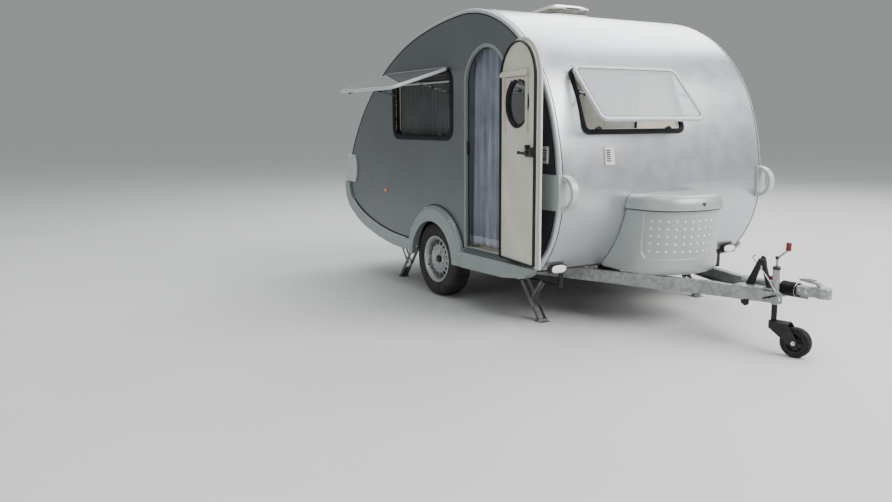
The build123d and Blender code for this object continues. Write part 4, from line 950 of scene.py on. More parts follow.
# porthole rims
T = lambda u, v, w=0.0: door_frame_at(272 + u, 1535 + v, w)
merge("porthole_seal_inner", [loop_sweep(circle(152, 72), [(13, 42.5), (14, 46), (9, 49.5), (0, 48), (-9, 41), (-12, 34), (-12, 29), (-4, 28.2), (-0.4, 30), (-0.4, 42.5)], T)],
      "black_rubber", "door", 60, "black_rubber")
merge("porthole_seal_outer", [loop_sweep(circle(152, 72), [(15, 6.2), (16, 3), (11, -1), (0, -1), (-9, 6), (-12, 14), (-12, 19.5), (-0.4, 19.5), (-0.4, 6.2)], T)],
      "black_rubber", "door", 60, "black_rubber")

# roller blind: head box, side rails with feet, and the folded blind's bottom bar
D = door_frame_at
head = [(0, 0), (30, 0), (31, 6), (29, 17), (22, 26), (12, 31), (3, 30), (0, 24)]
verts, faces = [], []
us = (66, 69, 436, 439)
for u, k in zip(us, (0.92, 1, 1, 0.92)):
    for w, z in head:
        verts.append(D(u, 1704 + 18 + (z - 15) * k * 1.18, 43 + w * k))
n = len(head)
for i in range(3):
    for k in range(n):
        l = (k + 1) % n
        faces.append((i * n + k, i * n + l, (i + 1) * n + l, (i + 1) * n + k))
faces += [tuple(range(n)), tuple(3 * n + k for k in range(n))]
blind = [(verts, faces),
         box_part(D, (86, 97), (1352, 1706), (43, 57), 3), box_part(D, (97, 110), (1356, 1704), (43, 50), 2),
         box_part(D, (391, 428), (1352, 1706), (43, 50), 3), box_part(D, (412, 426), (1356, 1704), (48, 57), 3),
         box_part(D, (80, 112), (1338, 1362), (43, 53), 5), box_part(D, (392, 432), (1338, 1362), (43, 53), 5),
         box_part(D, (100, 404), (1684, 1700), (44, 54), 4)]
for u in (150, 215, 285, 350):
    blind.append(box_part(D, (u - 7, u + 7), (1676, 1690), (43, 52), 3))
o = merge("door_blind_trim", blind, "blind_plastic", "door", 40, "white_plastic")
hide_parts("door_blind")
parts = [dome(D, u, z, 4.5, w, 2.0, 12, 3) for u, z, w in ((96, 1350, 53), (414, 1350, 53), (74, 1722, 68), (431, 1722, 68))]
merge("door_blind_screws", parts, "steel_bright", "door", 60)

# latch: body, lever, knobs, keep and the outside plate
latch = [box_part(D, (408, 521), (1186, 1248), (43, 58), 9), prism(rrect(92, 46, 16, 468, 1217), D, 57, 63, 4, 3)]
lever = [(452, 0), (430, 5), (395, 7), (352, 5), (338, 0), (338, -6), (352, -10), (395, -12), (430, -14), (452, -12)]
latch.append(prism([(u, 1213 + v) for u, v in lever], D, 61, 73, 4, 3))
latch.append(prism(circle(15, 24, 442, 1211), D, 57, 75, 4, 3))
latch.append(prism(rrect(26, 26, 9, 444, 1252, 5), D, 43, 74, 5, 3))
latch.append(prism(rrect(14, 40, 6, 500, 1217, 5), D, 62, 68, 2.5, 2))
latch.append(prism(circle(11, 20, 344, 1212), D, 58, 77, 4, 3))
outer = [prism(rrect(108, 88, 22, 478, 1217), D, 6, 0.5, 2.5, 3), prism(rrect(86, 50, 18, 480, 1217), D, 1.5, -2, 1.5, 2),
         prism([(u, 1217 + v) for u, v in ((430, 12), (520, 15), (528, 0), (520, -15), (430, -12), (424, 0))], D, -1.5, -8, 3, 3)]
o = merge("door_latch_case", latch + outer, "black_plastic", "door", 40, "black_plastic")
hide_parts("door_latch")
parts = [prism(circle(7, 18, 500, 1180), D, 1.5, -3.5, 1, 2)]
merge("door_lock_barrel", parts, "steel_bright", "door", 50)

# ---------------------------------------------------------------- windows
def pane_frame(top, wide, down, out, turn):
    a = math.radians(turn)
    d = Vector(down) * math.cos(a) + Vector(out) * math.sin(a)
    n = Vector(out) * math.cos(a) - Vector(down) * math.sin(a)
    wide = Vector(wide)
    return (lambda u, v, w=0.0: top + (wide * u + d * v + n * w) / 1000.0), d, n


PANES = []
for side, s in (("right", -1), ("left", 1)):
    top = P(WIN_X, s * (HALF + 14), WIN_Z) - Vector((0, 0, -1)) * (WIN_H / 2 + 14) / 1000
    PANES.append(("side_" + side, *pane_frame(top, (1, 0, 0), (0, 0, -1), (0, s, 0), FLAP_OPEN), WIN_W, WIN_H))
for nm, at, yy, w, h, turn in (("front", FWIN_AT, FWIN_Y, FWIN_W, FWIN_H, FRONT_OPEN), ("rear", RWIN_AT, 0.0, RWIN_W, RWIN_H, 0.0)):
    x, z, hd = on_outline(*at, inset=-15)
    hr = math.radians(hd)
    d = Vector((math.cos(hr), 0, math.sin(hr)))
    if d.z > 0:
        d = -d
    out = Vector((-math.sin(hr), 0, math.cos(hr)))
    top = P(x, yy, z) - d * (h / 2 + (0 if nm == "front" else 14)) / 1000
    PANES.append((nm, *pane_frame(top, (0, 1, 0), d, out, turn), w, h))

for nm, T, d, n, w, h in PANES:
    # hollow double pane: bright welded rim, dark line inside it, catches and hinge strip
    T1 = lambda u, v, q=0.0, T=T, h=h: T(u, v + h / 2 + 14, q)
    rim = rrect(w + 24, h + 24, 60, 0, 0, 8)
    add("pane_rim_" + nm, *loop_sweep(rim, [(-24, 22.2), (-23, 23.0), (-6, 22.9), (0.2, 21.0), (1.4, 17), (1.4, 5), (0.2, 1.0), (-6, -0.9), (-23, -1.0),
                                            (-24, -0.2), (-3, 0.6), (-0.6, 3), (-0.6, 19), (-3, 21.4)], T1), "pane_edge", "caravan", 50, "tinted_glass")
    lines = [loop_sweep(rrect(w - 26, h - 26, 40, 0, 0, 8), [(0, q0), (0, q1), (-4.5, q1), (-4.5, q0)], T1) for q0, q1 in ((21.9, 22.7), (-0.7, 0.1))]
    merge("pane_line_" + nm, lines, "black_rubber", "caravan", 50, "black_rubber")
    parts = []
    for u in (-w / 2 + 150, w / 2 - 150):
        # turning catch inside the lower edge
        parts.append(prism(rrect(46, 22, 9, u, h / 2 - 16, 5), T1, -0.5, -9, 2.5, 2))
        parts.append(prism(rrect(14, 40, 6, u, h / 2 - 26, 5), T1, -8, -15, 2.5, 2))
    merge("pane_catches_" + nm, parts, "black_plastic", "caravan", 40, "black_plastic")
    hinge = [box_part(T, (-w / 2 + 6, w / 2 - 6), (-13, 9), (2, 9), 3)]
    hinge.append(tube([T(-w / 2 + 4, -3, 9), T(w / 2 - 4, -3, 9)], 6.0, 12))
    merge("pane_hinge_" + nm, hinge, "trim_aluminium" if nm in ("front", "rear") else "black_plastic", "caravan", 40)

# side window gaskets: thick rounded rubber, bright strips and catches in the reveal
for side, s in (("right", -1), ("left", 1)):
    T = side_frame(s * HALF, s)
    loop = rrect(WIN_W, WIN_H, WIN_R, WIN_X, WIN_Z, 12)
    prof = [(-12.6, -4), (-12.6, 4.5), (-9, 8.8), (0, 9.4), (12, 9.6), (20, 9.2), (25, 6.5), (26.3, 2.5), (26.0, 0.2), (24.9, 0.1), (24.9, 3), (20, 8.2), (-12.2, 8.2), (-12.2, -4)]
    add("side_window_gasket_" + side, *loop_sweep(loop, prof, T), "black_rubber", "caravan", 70, "black_rubber")
    loop = rrect(WIN_W - 26, WIN_H - 26, WIN_R - 13, WIN_X, WIN_Z, 12)
    add("side_window_lip_" + side, *loop_sweep(loop, [(0, -8), (-5, -9), (-7, -12), (-6, -16), (0, -18)], T), "black_rubber", "caravan", 70, "black_rubber")
    # black liner over the cut edge of the wall
    add("side_window_liner_" + side, *loop_sweep(loop, [(1.2, -17), (-0.6, -17), (-0.6, -45), (1.2, -45)], T), "black_rubber", "caravan", 70, "black_rubber")
    parts = []
    for x in (WIN_X - WIN_W / 2 + 16, WIN_X + WIN_W / 2 - 16):
        for z0, z1 in ((1345, 1424), (1452, 1740)):
            parts.append(box_part(T, (x - 3, x + 3), (z0, z1), (-14, -6), 2.5))
    merge("side_window_strips_" + side, parts, "steel_bright", "caravan", 40, "trim_aluminium")
    parts = []
    for u in (-305, 305):
        parts.append(prism(rrect(52, 26, 7, WIN_X + u, WIN_Z - WIN_H / 2 + 24, 5), T, -10, -1, 3, 2))
        parts.append(prism(rrect(20, 16, 6, WIN_X + u, WIN_Z - WIN_H / 2 + 32, 5), T, -3, 5, 2.5, 2))
    merge("side_window_keeps_" + side, parts, "black_plastic", "caravan", 40, "black_plastic")
    rail = [tube([P(WIN_X - 470, s * 934, 1783), P(WIN_X + 470, s * 934, 1783)], 7, 12)]
    rail += [box_part(frame_of(P(WIN_X + u, s * 934, 1783), (0, 1, 0), (0, 0, 1)), (-9, 25 if s > 0 else 9), (-11, 11), (-7, 7), 3) if s > 0 else
             box_part(frame_of(P(WIN_X + u, s * 934, 1783), (0, 1, 0), (0, 0, 1)), (-25, 9), (-11, 11), (-7, 7), 3) for u in (-462, 0, 462)]
    rail.append(tube([P(WIN_X - 452, s * 952, 1724), P(WIN_X + 452, s * 952, 1724)], 8, 12))
    merge("curtain_rail_" + side, rail, "trim_aluminium", "caravan", 40, "trim_aluminium")
    # stay arms from the reveal to the pane, with their clips
    name, Tp, d, n, w, h = PANES[0 if s < 0 else 1]
    arms, clips = [], []
    for u in (-1, 1):
        a = T(WIN_X + u * (WIN_W / 2 - 24), WIN_Z + 92, -2)
        b = Tp(u * (w / 2 - 24), 300, -9)
        arms.append(tube([a, a.lerp(b, 0.52)], 6.5, 12))
        arms.append(tube([a.lerp(b, 0.5), b], 4.5, 12))
        clips.append(tube([a.lerp(b, 0.47), a.lerp(b, 0.56)], 9.5, 14))
        clips.append(prism(rrect(26, 44, 7, u * (w / 2 - 24), 300, 5), Tp, -1, -11, 3, 2))
        clips.append(prism(rrect(26, 40, 7, WIN_X + u * (WIN_W / 2 - 24), WIN_Z + 92, 5), T, -9, 3, 3, 2))
    merge("side_window_stays_" + side, arms, "steel_bright", "caravan", 60, "trim_aluminium")
    merge("side_window_clips_" + side, clips, "black_plastic", "caravan", 40, "black_plastic")

# front and rear window gaskets: raised rim, pale inner frame, latches, stays
for nm, at, yy, w, h in (("front", FWIN_AT, FWIN_Y, FWIN_W, FWIN_H), ("rear", RWIN_AT, 0.0, RWIN_W, RWIN_H)):
    T = skin_frame(*at, y=yy)
    loop = rrect(w - 2, h - 2, 50, 0, 0, 10)
    add("window_gasket_" + nm, *loop_sweep(loop, [(-20, -30), (-21.5, -10), (-20, 1), (-14, 5.5), (-4, 6.5), (4, 4.5), (9, 0), (10, -8), (9, -19), (1.2, -22), (1.2, -2), (-12, 3.2), (-19.5, 0), (-19.8, -30)], T),
        "black_rubber", "caravan", 70, "black_rubber")
    loop = rrect(w - 46, h - 46, 30, 0, 0, 8)
    add("window_inner_frame_" + nm, *loop_sweep(loop, [(0, -20), (-4, -17), (-9, -18), (-12, -22), (-12, -40), (0, -44)], T), "white_plastic", "caravan", 50, "white_plastic")
    parts = []
    for u in (-w * 0.35, w * 0.35):
        parts.append(prism(rrect(54, 22, 7, u, -h / 2 + 30, 5), T, -22, -8, 3, 2))
        parts.append(prism(rrect(22, 14, 5, u, -h / 2 + 38, 5), T, -9, -2, 2.5, 2))
    merge("window_keeps_" + nm, parts, "black_plastic", "caravan", 40, "black_plastic")
name, Tp, d, n, w, h = PANES[2]
T = skin_frame(*FWIN_AT, y=FWIN_Y)
arms, clips = [], []
for u in (-1, 1):
    a = T(u * (w / 2 - 36), 60, -12)
    b = Tp(u * (w / 2 - 36), 250, -8)
    arms.append(tube([a, a.lerp(b, 0.55)], 6.5, 12))
    arms.append(tube([a.lerp(b, 0.5), b], 4.5, 12))
    clips.append(tube([a.lerp(b, 0.5), a.lerp(b, 0.6)], 9.5, 14))
    clips.append(prism(rrect(24, 44, 7, u * (w / 2 - 36), 250, 5), Tp, -1, -10, 3, 2))
    clips.append(prism(rrect(24, 40, 7, u * (w / 2 - 36), 60, 5), T, -20, -6, 3, 2))
merge("front_window_stays", arms, "steel_bright", "caravan", 60, "trim_aluminium")
merge("front_window_clips", clips, "black_plastic", "caravan", 40, "black_plastic")

# ---------------------------------------------------------------- roof hatch
T = frame_of(P(HATCH_X, 0, 2250), (1, 0, 0), (0, 1, 0))
add("hatch_seal", *loop_sweep(rrect(HATCH_W - 18, HATCH_W - 18, 52), [(0, 0), (7, 1), (8, 5), (4, 8), (-3, 7), (-5, 0)], T), "black_rubber", "caravan", 70, "black_rubber")
tilt = math.radians(4.5)
HL = frame_of(P(HATCH_X - HATCH_W / 2 - 10, 0, 2257), (math.cos(tilt), 0, math.sin(tilt)), (0, 1, 0))
bracket = []
for y in (-58, 58):
    bracket.append(tube(smooth_path([HL(384, y, 8), HL(398, y, 8), HL(408, y, 5)], 5), 4.0, 10))
bracket.append(tube([HL(408, -66, 4), HL(408, 66, 4)], 5.0, 12))
merge("hatch_handle", bracket, "black_plastic", "roof_hatch_lid", 60, "black_plastic")
parts = []
for y in (-120, 120):
    parts.append(box_part(frame_of(P(HATCH_X - HATCH_W / 2 - 8, y, 2249), (1, 0, 0), (0, 1, 0)), (-14, 16), (-22, 22), (-14, 6), 4))
    parts.append(tube([P(HATCH_X - HATCH_W / 2 - 10, y - 18, 2257), P(HATCH_X - HATCH_W / 2 - 10, y + 18, 2257)], 5, 12))
merge("hatch_hinges", parts, "black_plastic", "caravan", 40, "black_plastic")
# bead round the dome's foot
add("hatch_lid_rim", *loop_sweep(rrect(HATCH_W + 20, HATCH_W + 20, 70, HATCH_W / 2 + 10, 0), [(0.2, -0.5), (1.6, 2), (1.6, 11), (0.2, 14), (-4, 15.2), (-8, 15.4), (-6, 13.6), (-0.4, 12.5), (-0.4, 1)], HL),
    "white_plastic", "roof_hatch_lid", 60, "white_plastic")

# ---------------------------------------------------------------- front locker
def box_ring(half, front, z, n_side, n_front, extra=0.0):
    y0, y1, ym = BOX_Y - half, BOX_Y + half, half * 0.523
    xb = body_x(z) + 4.5 + extra
    right = arc_path((front - 290, y0), (front - 140, BOX_Y - half * 0.87), (front - 38, BOX_Y - ym), 30)
    mid = arc_path((front - 38, BOX_Y - ym), (front, BOX_Y), (front - 38, BOX_Y + ym), 30)
    left = [(x, 2 * BOX_Y - y) for x, y in right[::-1]]
    line = [(xb + (front - 290 - xb) * k / 12, y0) for k in range(12)] + right + mid[1:] + left[1:]
    line += [(xb + (front - 290 - xb) * k / 12, y1) for k in range(11, -1, -1)]
    # ease the corners between the arcs
    for _ in range(10):
        line = [line[0]] + [((a[0] + 2 * b[0] + c[0]) / 4, (a[1] + 2 * b[1] + c[1]) / 4) for a, b, c in zip(line, line[1:], line[2:])] + [line[-1]]
    d = [0.0]
    for a, b in zip(line, line[1:]):
        d.append(d[-1] + math.hypot(b[0] - a[0], b[1] - a[1]))
    line_x, line_y = [p[0] for p in line], [p[1] for p in line]
    # spacing: even on the two straight sides, even over the bowed front
    side = front - 290 - xb
    total = d[-1]
    s = [side * k / n_side for k in range(n_side)] + [side + (total - 2 * side) * k / n_front for k in range(n_front)] + [total - side + side * k / n_side for k in range(n_side + 1)]
    xs, ys = np.interp(s, d, line_x), np.interp(s, d, line_y)
    pts = list(zip(xs, ys))
    nrm = []
    for k in range(len(pts)):
        a, b = pts[max(0, k - 1)], pts[min(len(pts) - 1, k + 1)]
        dx, dy = b[0] - a[0], b[1] - a[1]
        l = math.hypot(dx, dy) or 1
        nrm.append((dy / l, -dx / l))
    return pts, nrm, [v - total / 2 for v in s]


def shell(rows, name, mat, body, slot, cap_first, cap_last, n_side=10, n_front=300, relief=None, crown=0.0):
    """Closed D-shaped shell from rows of (z, half, front, inset)."""
    verts, faces = [], []
    for z, half, front, cut in rows:
        pts, nrm, arc = box_ring(half, front, z, n_side, n_front)
        for k, ((x, y), (nx, ny)) in enumerate(zip(pts, nrm)):
            q = cut
            if relief:
                q += relief(arc[k], z, k, len(pts))
            xx = max(x - nx * q, pts[0][0])
            if k in (0, len(pts) - 1):
                xx = pts[0][0]
            verts.append(P(xx, y - ny * q, z))
    m = len(pts)
    for r in range(len(rows) - 1):
        for k in range(m - 1):
            faces.append((r * m + k, r * m + k + 1, (r + 1) * m + k + 1, (r + 1) * m + k))
        faces.append((r * m, (r + 1) * m, (r + 1) * m + m - 1, r * m + m - 1))

    def cap(r, lift):
        cols = 8
        base = r * m
        rings = []
        for k in range(m // 2):
            a, b = verts[base + k], verts[base + m - 1 - k]
            row = [base + k]
            for c in range(1, cols):
                t = c / cols
                p = a.lerp(b, t)
                edge = min(1.0, 4.0 * t * (1 - t)) * min(1.0, max(0.0, ((b - a).length - 0.02) / 0.5))
                verts.append(p + Vector((0, 0, lift * edge / 1000)))
                row.append(len(verts) - 1)
            row.append(base + m - 1 - k)
            rings.append(row)
        for a, b in zip(rings, rings[1:]):
            for c in range(cols):
                faces.append((a[c], a[c + 1], b[c + 1], b[c]))
        a = rings[-1]
        if m % 2:
            mid = base + m // 2
            for c in range(cols):
                faces.append((a[c], a[c + 1], mid))

    if cap_first:
        cap(0, -crown if crown < 0 else 0.0)
    if cap_last:
        cap(len(rows) - 1, max(0.0, crown))
    return add(name, verts, faces, mat, body, 40.0, slot)


def lerp_row(z):
    t = (z - BOX_Z0) / (BOX_SEAM - BOX_Z0)
    return 365 - 27 * t, 2020 + 36 * t


DIMPLES = [((u + 0.5) * 58.0, 557.0 + v * 50.5) for u in range(-7, 7) for v in range(5)]


def box_relief(arc, z, k, m):
    """Recessed front field with a ledge at its foot, and round dimples in rows."""
    def step(e0, e1, v):
        t = min(1.0, max(0.0, (v - e0) / (e1 - e0)))
        return t * t * (3 - 2 * t)
    w = 432.0
    # rounded lower corners of the field
    dz = 499.0 + max(0.0, abs(arc) - (w - 45)) ** 2 / 45.0
    q = 8.0 * step(dz, dz + 5.0, z) * (1 - step(w, w + 9.0, abs(arc))) * (1 - step(806.0, 811.0, z))
    for a, b in DIMPLES:
        r2 = (arc - a) ** 2 + (z - b) ** 2
        if r2 < 196:
            q += 8.0 * (1 - step(3.0, 12.5, math.sqrt(r2)))
    return q


rows = []
for k in range(7):
    a = math.pi / 2 * k / 6
    z = BOX_Z0 + 0.5 + 46 * (1 - math.cos(a))
    rows.append((z, *lerp_row(z), 46 * (1 - math.sin(a))))
zs = list(np.arange(455, 497, 8)) + [499, 501, 503, 504.5] + list(np.arange(508, 784, 3.6)) + [790, 798, 805, 806.5, 809, 811, 815, 818]
rows += [(float(z), *lerp_row(z), 0.0) for z in zs]
rows += [(820.5, *lerp_row(820), 1.2), (821.6, *lerp_row(821), 3.5), (821.6, *lerp_row(821), 8.0)]
# inside skin
rows += [(815, *lerp_row(815), 13.0)] + [(z, *lerp_row(z), 19.0) for z in (760, 600, 480)] + [(428, *lerp_row(428), 24.0), (400, *lerp_row(400), 52.0)]
o = shell(rows, "front_locker", "box_plastic", "caravan", None, True, True, 10, 300, box_relief)
# paler plastic in the dimples' bowls: painted highlight where they catch the light
o.data.materials.append(MAT["box_dimple_painted_highlight"])
_m = len(box_ring(360, 2030, 600, 10, 300)[0])
_arc = [box_ring(*lerp_row(z), z, 10, 300)[2] for z in [r[0] for r in rows]]
for f in o.data.polygons:
    ids = [v for v in f.vertices if v < _m * len(rows)]
    if len(ids) == 4:
        k0, r0 = min(i % _m for i in ids), min(i // _m for i in ids)
        r1 = min(r0 + 1, len(rows) - 1)
        if rows[r1][3] == 0.0 and 540 < rows[r0][0] < 785:
            a0, z0 = (_arc[r0][k0] + _arc[r0][min(k0 + 1, _m - 1)]) / 2, (rows[r0][0] + rows[r1][0]) / 2
            if any((a0 - a) ** 2 + (z0 - b) ** 2 < 90 for a, b in DIMPLES):
                f.material_index = 1
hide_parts("front_box")

lid = ((829, 350, 2069, 14), (827.5, 350, 2069, 4), (830, 350, 2069, 0.8), (836, 350, 2069, 0), (868, 346, 2065, 0), (884, 345, 2063, 1.5), (895, 344, 2061, 5),
       (904, 343, 2060, 10), (912, 343, 2060, 18), (918, 343, 2060, 27), (922.5, 343, 2060, 38), (925, 343, 2060, 50), (926, 343, 2060, 66))


def lid_shell():
    out = shell(list(lid), "locker_lid", "box_plastic", "front_box_lid", None, False, True, 8, 90, None, 1.6)
    return out


o = lid_shell()
o.modifiers.new("thickness", "SOLIDIFY").thickness = 0.004
o.modifiers["thickness"].offset = -1.0
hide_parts("front_box_lid")
# seam gasket and keyhole
pts, nrm, arc = box_ring(340, 2058, 824, 12, 90)
path = [P(x - nx * 14, y - ny * 14, 824.6) for (x, y), (nx, ny) in zip(pts, nrm)]
add("locker_gasket", *tube(path, 3.6, 8), "black_rubber", "caravan", 70, "black_rubber")
i = min(range(len(pts)), key=lambda k: abs(pts[k][1] - (BOX_Y - 25)))
Tl = frame_of(P(pts[i][0] + 3.5, pts[i][1], 862), (0, 1, 0), (0, 0, 1))
merge("locker_lock", [prism(rrect(44, 30, 12, 0, 0, 6), Tl, -2, 3.2, 1.5, 2), prism(circle(9.5, 18), Tl, 2, 5.4, 1, 2)], "black_plastic", "front_box_lid", 40, "black_plastic")

# ---------------------------------------------------------------- lamps
for side, s in (("right", -1), ("left", 1)):
    T = frame_of(P(1510, s * 852, 425), (0, 1, 0), (0, 0, 1))
    ell = [(62 * math.copysign(abs(math.cos(a)) ** 0.75, math.cos(a)), 27 * math.copysign(abs(math.sin(a)) ** 0.75, math.sin(a))) for a in np.linspace(0, 2 * math.pi, 33)[:-1]]
    verts, faces = [], []
    for k in range(7):
        a = math.pi / 2 * k / 7
        for x, y in ell:
            verts.append(T(x * math.cos(a), y * math.cos(a), -1.0 + 10 * math.sin(a)))
    top = len(verts)
    verts.append(T(0, 0, 9.0))
    for k in range(6):
        for i in range(32):
            j = (i + 1) % 32
            faces.append((k * 32 + i, k * 32 + j, (k + 1) * 32 + j, (k + 1) * 32 + i))
    for i in range(32):
        faces.append((6 * 32 + i, 6 * 32 + (i + 1) % 32, top))
    faces.append(tuple(reversed(range(32))))
    add("front_lamp_lens_" + side, verts, faces, "lamp_clear", "caravan", 50, "lamp_clear")
    T = frame_of(P(-1640, s * 780, 800), (0, -1, 0), (0, 0, 1))
    base = prism(rrect(186, 96, 32), T, -6, 2, 3, 3)
    add("rear_lamp_base_" + side, *base, "black_plastic", "caravan", 40, "black_plastic")
    add("rear_lamp_red_" + side, *prism(rrect(104, 78, 24, -30 * s, 0), T, 1, 9, 4, 4), "lamp_red", "caravan", 50, "lamp_red")
    add("rear_lamp_orange_" + side, *prism(rrect(56, 36, 12, 56 * s, 20), T, 1, 8, 3, 4), "reflector_orange", "caravan", 50, "lamp_red")
    add("rear_lamp_clear_" + side, *prism(rrect(56, 36, 12, 56 * s, -20), T, 1, 8, 3, 4), "lamp_clear", "caravan", 50, "lamp_clear")


# ---------------------------------------------------------------- road wheels
TREAD = [(-70.0, 178.5, 0), (-71.5, 186, 0), (-71, 193, 0), (-77, 205, 0), (-84.5, 220, 0), (-85.6, 224, 0), (-88.6, 236, 0), (-90, 247, 0), (-88.8, 259, 0), (-87.0, 262, 0),
         (-85.5, 272, 0), (-82.5, 281, 1), (-77, 290, 1), (-69, 296.5, 1), (-61, 299.4, 1), (-46, 300.4, 1), (-44.5, 299.5, 0), (-43.5, 292.5, 0),
         (-36.5, 292.5, 0), (-35.5, 299.6, 0), (-34, 300.6, 2), (-16, 300.9, 2), (-14.5, 300, 0), (-13.5, 292.5, 0), (-6.5, 292.5, 0), (-5.5, 300, 0), (-4.5, 301, 0)]
TREAD += [(-v, r, 3 if k == 2 else k) for v, r, k in TREAD[::-1]]
SLOTS = 16
for side, s in (("right", -1), ("left", 1)):
    body = "wheel_" + side
    wheel_at = lambda u, v, w=0.0, s=s: P(WHEEL_X + u, s * (WHEEL_Y + w), WHEEL_R + v)
    verts, faces = [], []
    pitch, k = 68, len(TREAD)
    cols = []
    for b in range(pitch):
        for t in (0.0, 0.05, 0.10, 0.26, 0.31, 0.66):
            cols.append((360.0 * (b + t) / pitch, t in (0.10, 0.26)))
    for a, low in cols:
        for v, r, kind in TREAD:
            # shoulder and rib cuts, turned a little further in each rib
            da = {0: 0.0, 1: 0.0, 2: 1.6, 3: 3.0}[kind]
            cut = (4.5 if kind == 1 else 3.2) if low and kind else 0.0
            t = math.radians(a + da)
            verts.append(wheel_at((r - cut) * math.cos(t), (r - cut) * math.sin(t), v))
    n = len(cols)
    for c in range(n):
        d = (c + 1) % n
        for q in range(k):
            p2 = (q + 1) % k
            faces.append((c * k + q, c * k + p2, d * k + p2, d * k + q))
    o = add("tyre_tread_" + side, verts, faces, "tyre", body, 40, None)
    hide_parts("tyre_" + side)
    # rim barrel with rolled lips
    barrel = [(78, 192), (79.5, 189), (79.5, 184), (77.5, 179), (74, 174), (66, 166), (60, 161), (48, 157.5), (30, 154), (10, 151.5), (-20, 157),
              (-45, 163.5), (-60, 168), (-72, 174), (-79, 180), (-79.5, 188), (-78, 192), (-74.5, 193.4), (-71.8, 191), (-71.6, 180), (-69, 176.8), (69, 176.8), (71.6, 180), (71.8, 191), (74.5, 193.4)]
    parts = [lathe(barrel, wheel_at, 96, closed_profile=True)]
    o = merge("wheel_barrel_" + side, parts, "wheel_silver", body, 50, None)
    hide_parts("rim_" + side)
    # pressed disc: bolt face, crowned ring with cooling slots, flange
    rows = [(44, 29), (45, 36), (43, 43), (37, 49), (35, 55), (35, 66), (37.5, 77), (42, 88), (46.5, 99), (50, 107), (51, 112), (49.5, 117), (46, 128), (41, 139), (34, 147), (27, 151.5), (20, 152.8), (14, 152.4)]
    verts, faces = [], []
    per = 10
    nc = SLOTS * per
    for c in range(nc):
        t = 2 * math.pi * c / nc
        for ax, r in rows:
            verts.append(wheel_at(r * math.cos(t), r * math.sin(t), ax))
    k = len(rows)
    for c in range(nc):
        d = (c + 1) % nc
        for q in range(k - 1):
            if 11 <= q <= 13 and 2 <= c % per <= 7:
                continue
            faces.append((c * k + q, c * k + q + 1, d * k + q + 1, d * k + q))
    o = add("wheel_disc_" + side, verts, faces, "wheel_silver", body, 180, None)
    sd = o.modifiers.new("thickness", "SOLIDIFY")
    sd.thickness, sd.offset = 0.0036, -1.0
    ss = o.modifiers.new("smooth", "SUBSURF")
    ss.levels = ss.render_levels = 1
    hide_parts("rim_" + side)
    parts = []
    for b in range(5):
        t = 2 * math.pi * b / 5 + 0.35
        cx, cy = 56 * math.cos(t), 56 * math.sin(t)
        parts.append(prism(circle(11.5, 20, cx, cy), wheel_at, 34.0, 37.5, 1.2, 2))
        parts.append(prism(circle(9.8, 6, cx, cy), wheel_at, 37.0, 48.0, 1.4, 2))
    merge("wheel_bolts_" + side, parts, "steel_bright", body, 40)
    hub = [(-30, 12), (44, 12), (44, 28.6), (52, 28.4), (60, 27), (65, 23), (67.5, 15), (68, 0.3)]
    merge("hub_cap_" + side, [lathe([(38, 0.3), (38, 28.6)] + hub[3:], wheel_at, 40)], "black_plastic", body, 50)
    drum = [(-90, 20.1), (-90, 108), (-87, 112), (-24, 112), (-20, 108), (-20, 74), (-18, 70), (22, 70), (24, 66), (24, 20.1)]
    # dark disc behind the cooling slots: painted shade, so the slots read dark
    slot_shade_disc = [(-26, 60), (-26, 149), (-22, 151), (-18, 149), (-18, 60)]
    merge("brake_drum_and_shade_disc_" + side, [lathe(drum, wheel_at, 64, closed_profile=True), lathe(slot_shade_disc, wheel_at, 64, closed_profile=True)], "black_steel", body, 40)
    t = math.radians(205)
    path = [wheel_at(r * math.cos(t), r * math.sin(t), ax) for r, ax in ((160, 50), (156, 58), (152, 70), (150, 82))]
    merge("tyre_valve_" + side, [tube(path, [5.5, 4.5, 3.6, 3.6], 10)], "black_rubber", body, 60)

# ---------------------------------------------------------------- bellows, jockey wheel
prof = [(2620.0, 35.0), (2620.5, 43.0), (2630.0, 43.6), (2631.0, 38.0)]
for k in range(9):
    x = 2633.0 + k * 10.2
    prof += [(x, 35.5), (x + 2.4, 38.8), (x + 4.2, 43.2), (x + 5.1, 43.9), (x + 6.0, 43.2), (x + 7.8, 38.8)]
prof += [(2725.5, 36.5), (2726.5, 43.0), (2734.5, 43.6), (2735.0, 35.0)]
along_x = lambda c, s_, ax: P(ax, c, 398.0 + s_)
o = merge("bellows_folds", [lathe(prof, along_x, 48, closed_profile=True)], "black_rubber", "caravan", 50)
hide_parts("bellows")
merge("bellows_clips", [lathe([(x, 43.3), (x, 44.9), (x + 4, 44.9), (x + 4, 43.3)], along_x, 48, closed_profile=True) for x in (2623.5, 2728.5)], "steel_bright", "caravan", 50)

_j = math.radians(14.0)
fork_at = lambda u, v, w=0.0: P(JOCKEY_X + u * math.cos(_j) - w * math.sin(_j), JOCKEY_Y + u * math.sin(_j) + w * math.cos(_j), v)
jw = lambda c, s_, ax: fork_at(JOCKEY_TRAIL + c, JOCKEY_R + s_, ax)
prof = [(-28, 60), (-29, 64), (-29, 78), (-27.5, 84.5), (-23, 89), (-16, 91.4), (-11, 91.9), (-10, 90.4), (-8, 90.4), (-7, 92), (7, 92), (8, 90.4), (10, 90.4), (11, 91.9),
        (16, 91.4), (23, 89), (27.5, 84.5), (29, 78), (29, 64), (28, 60)]
o = merge("jockey_tyre", [lathe(prof, jw, 72, closed_profile=True)], "black_rubber", "jockey_wheel", 50)
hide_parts("jockey_wheel")
prof = [(-28, 60.2), (-26, 61), (26, 61), (28, 60.2), (28.5, 57), (26, 54), (12, 51), (7, 44), (6, 30), (9, 22), (27, 19), (28.8, 17), (28.8, 8.2), (-28.8, 8.2), (-28.8, 17), (-27, 19), (-9, 22),
        (-6, 30), (-7, 44), (-12, 51), (-26, 54), (-28.5, 57)]
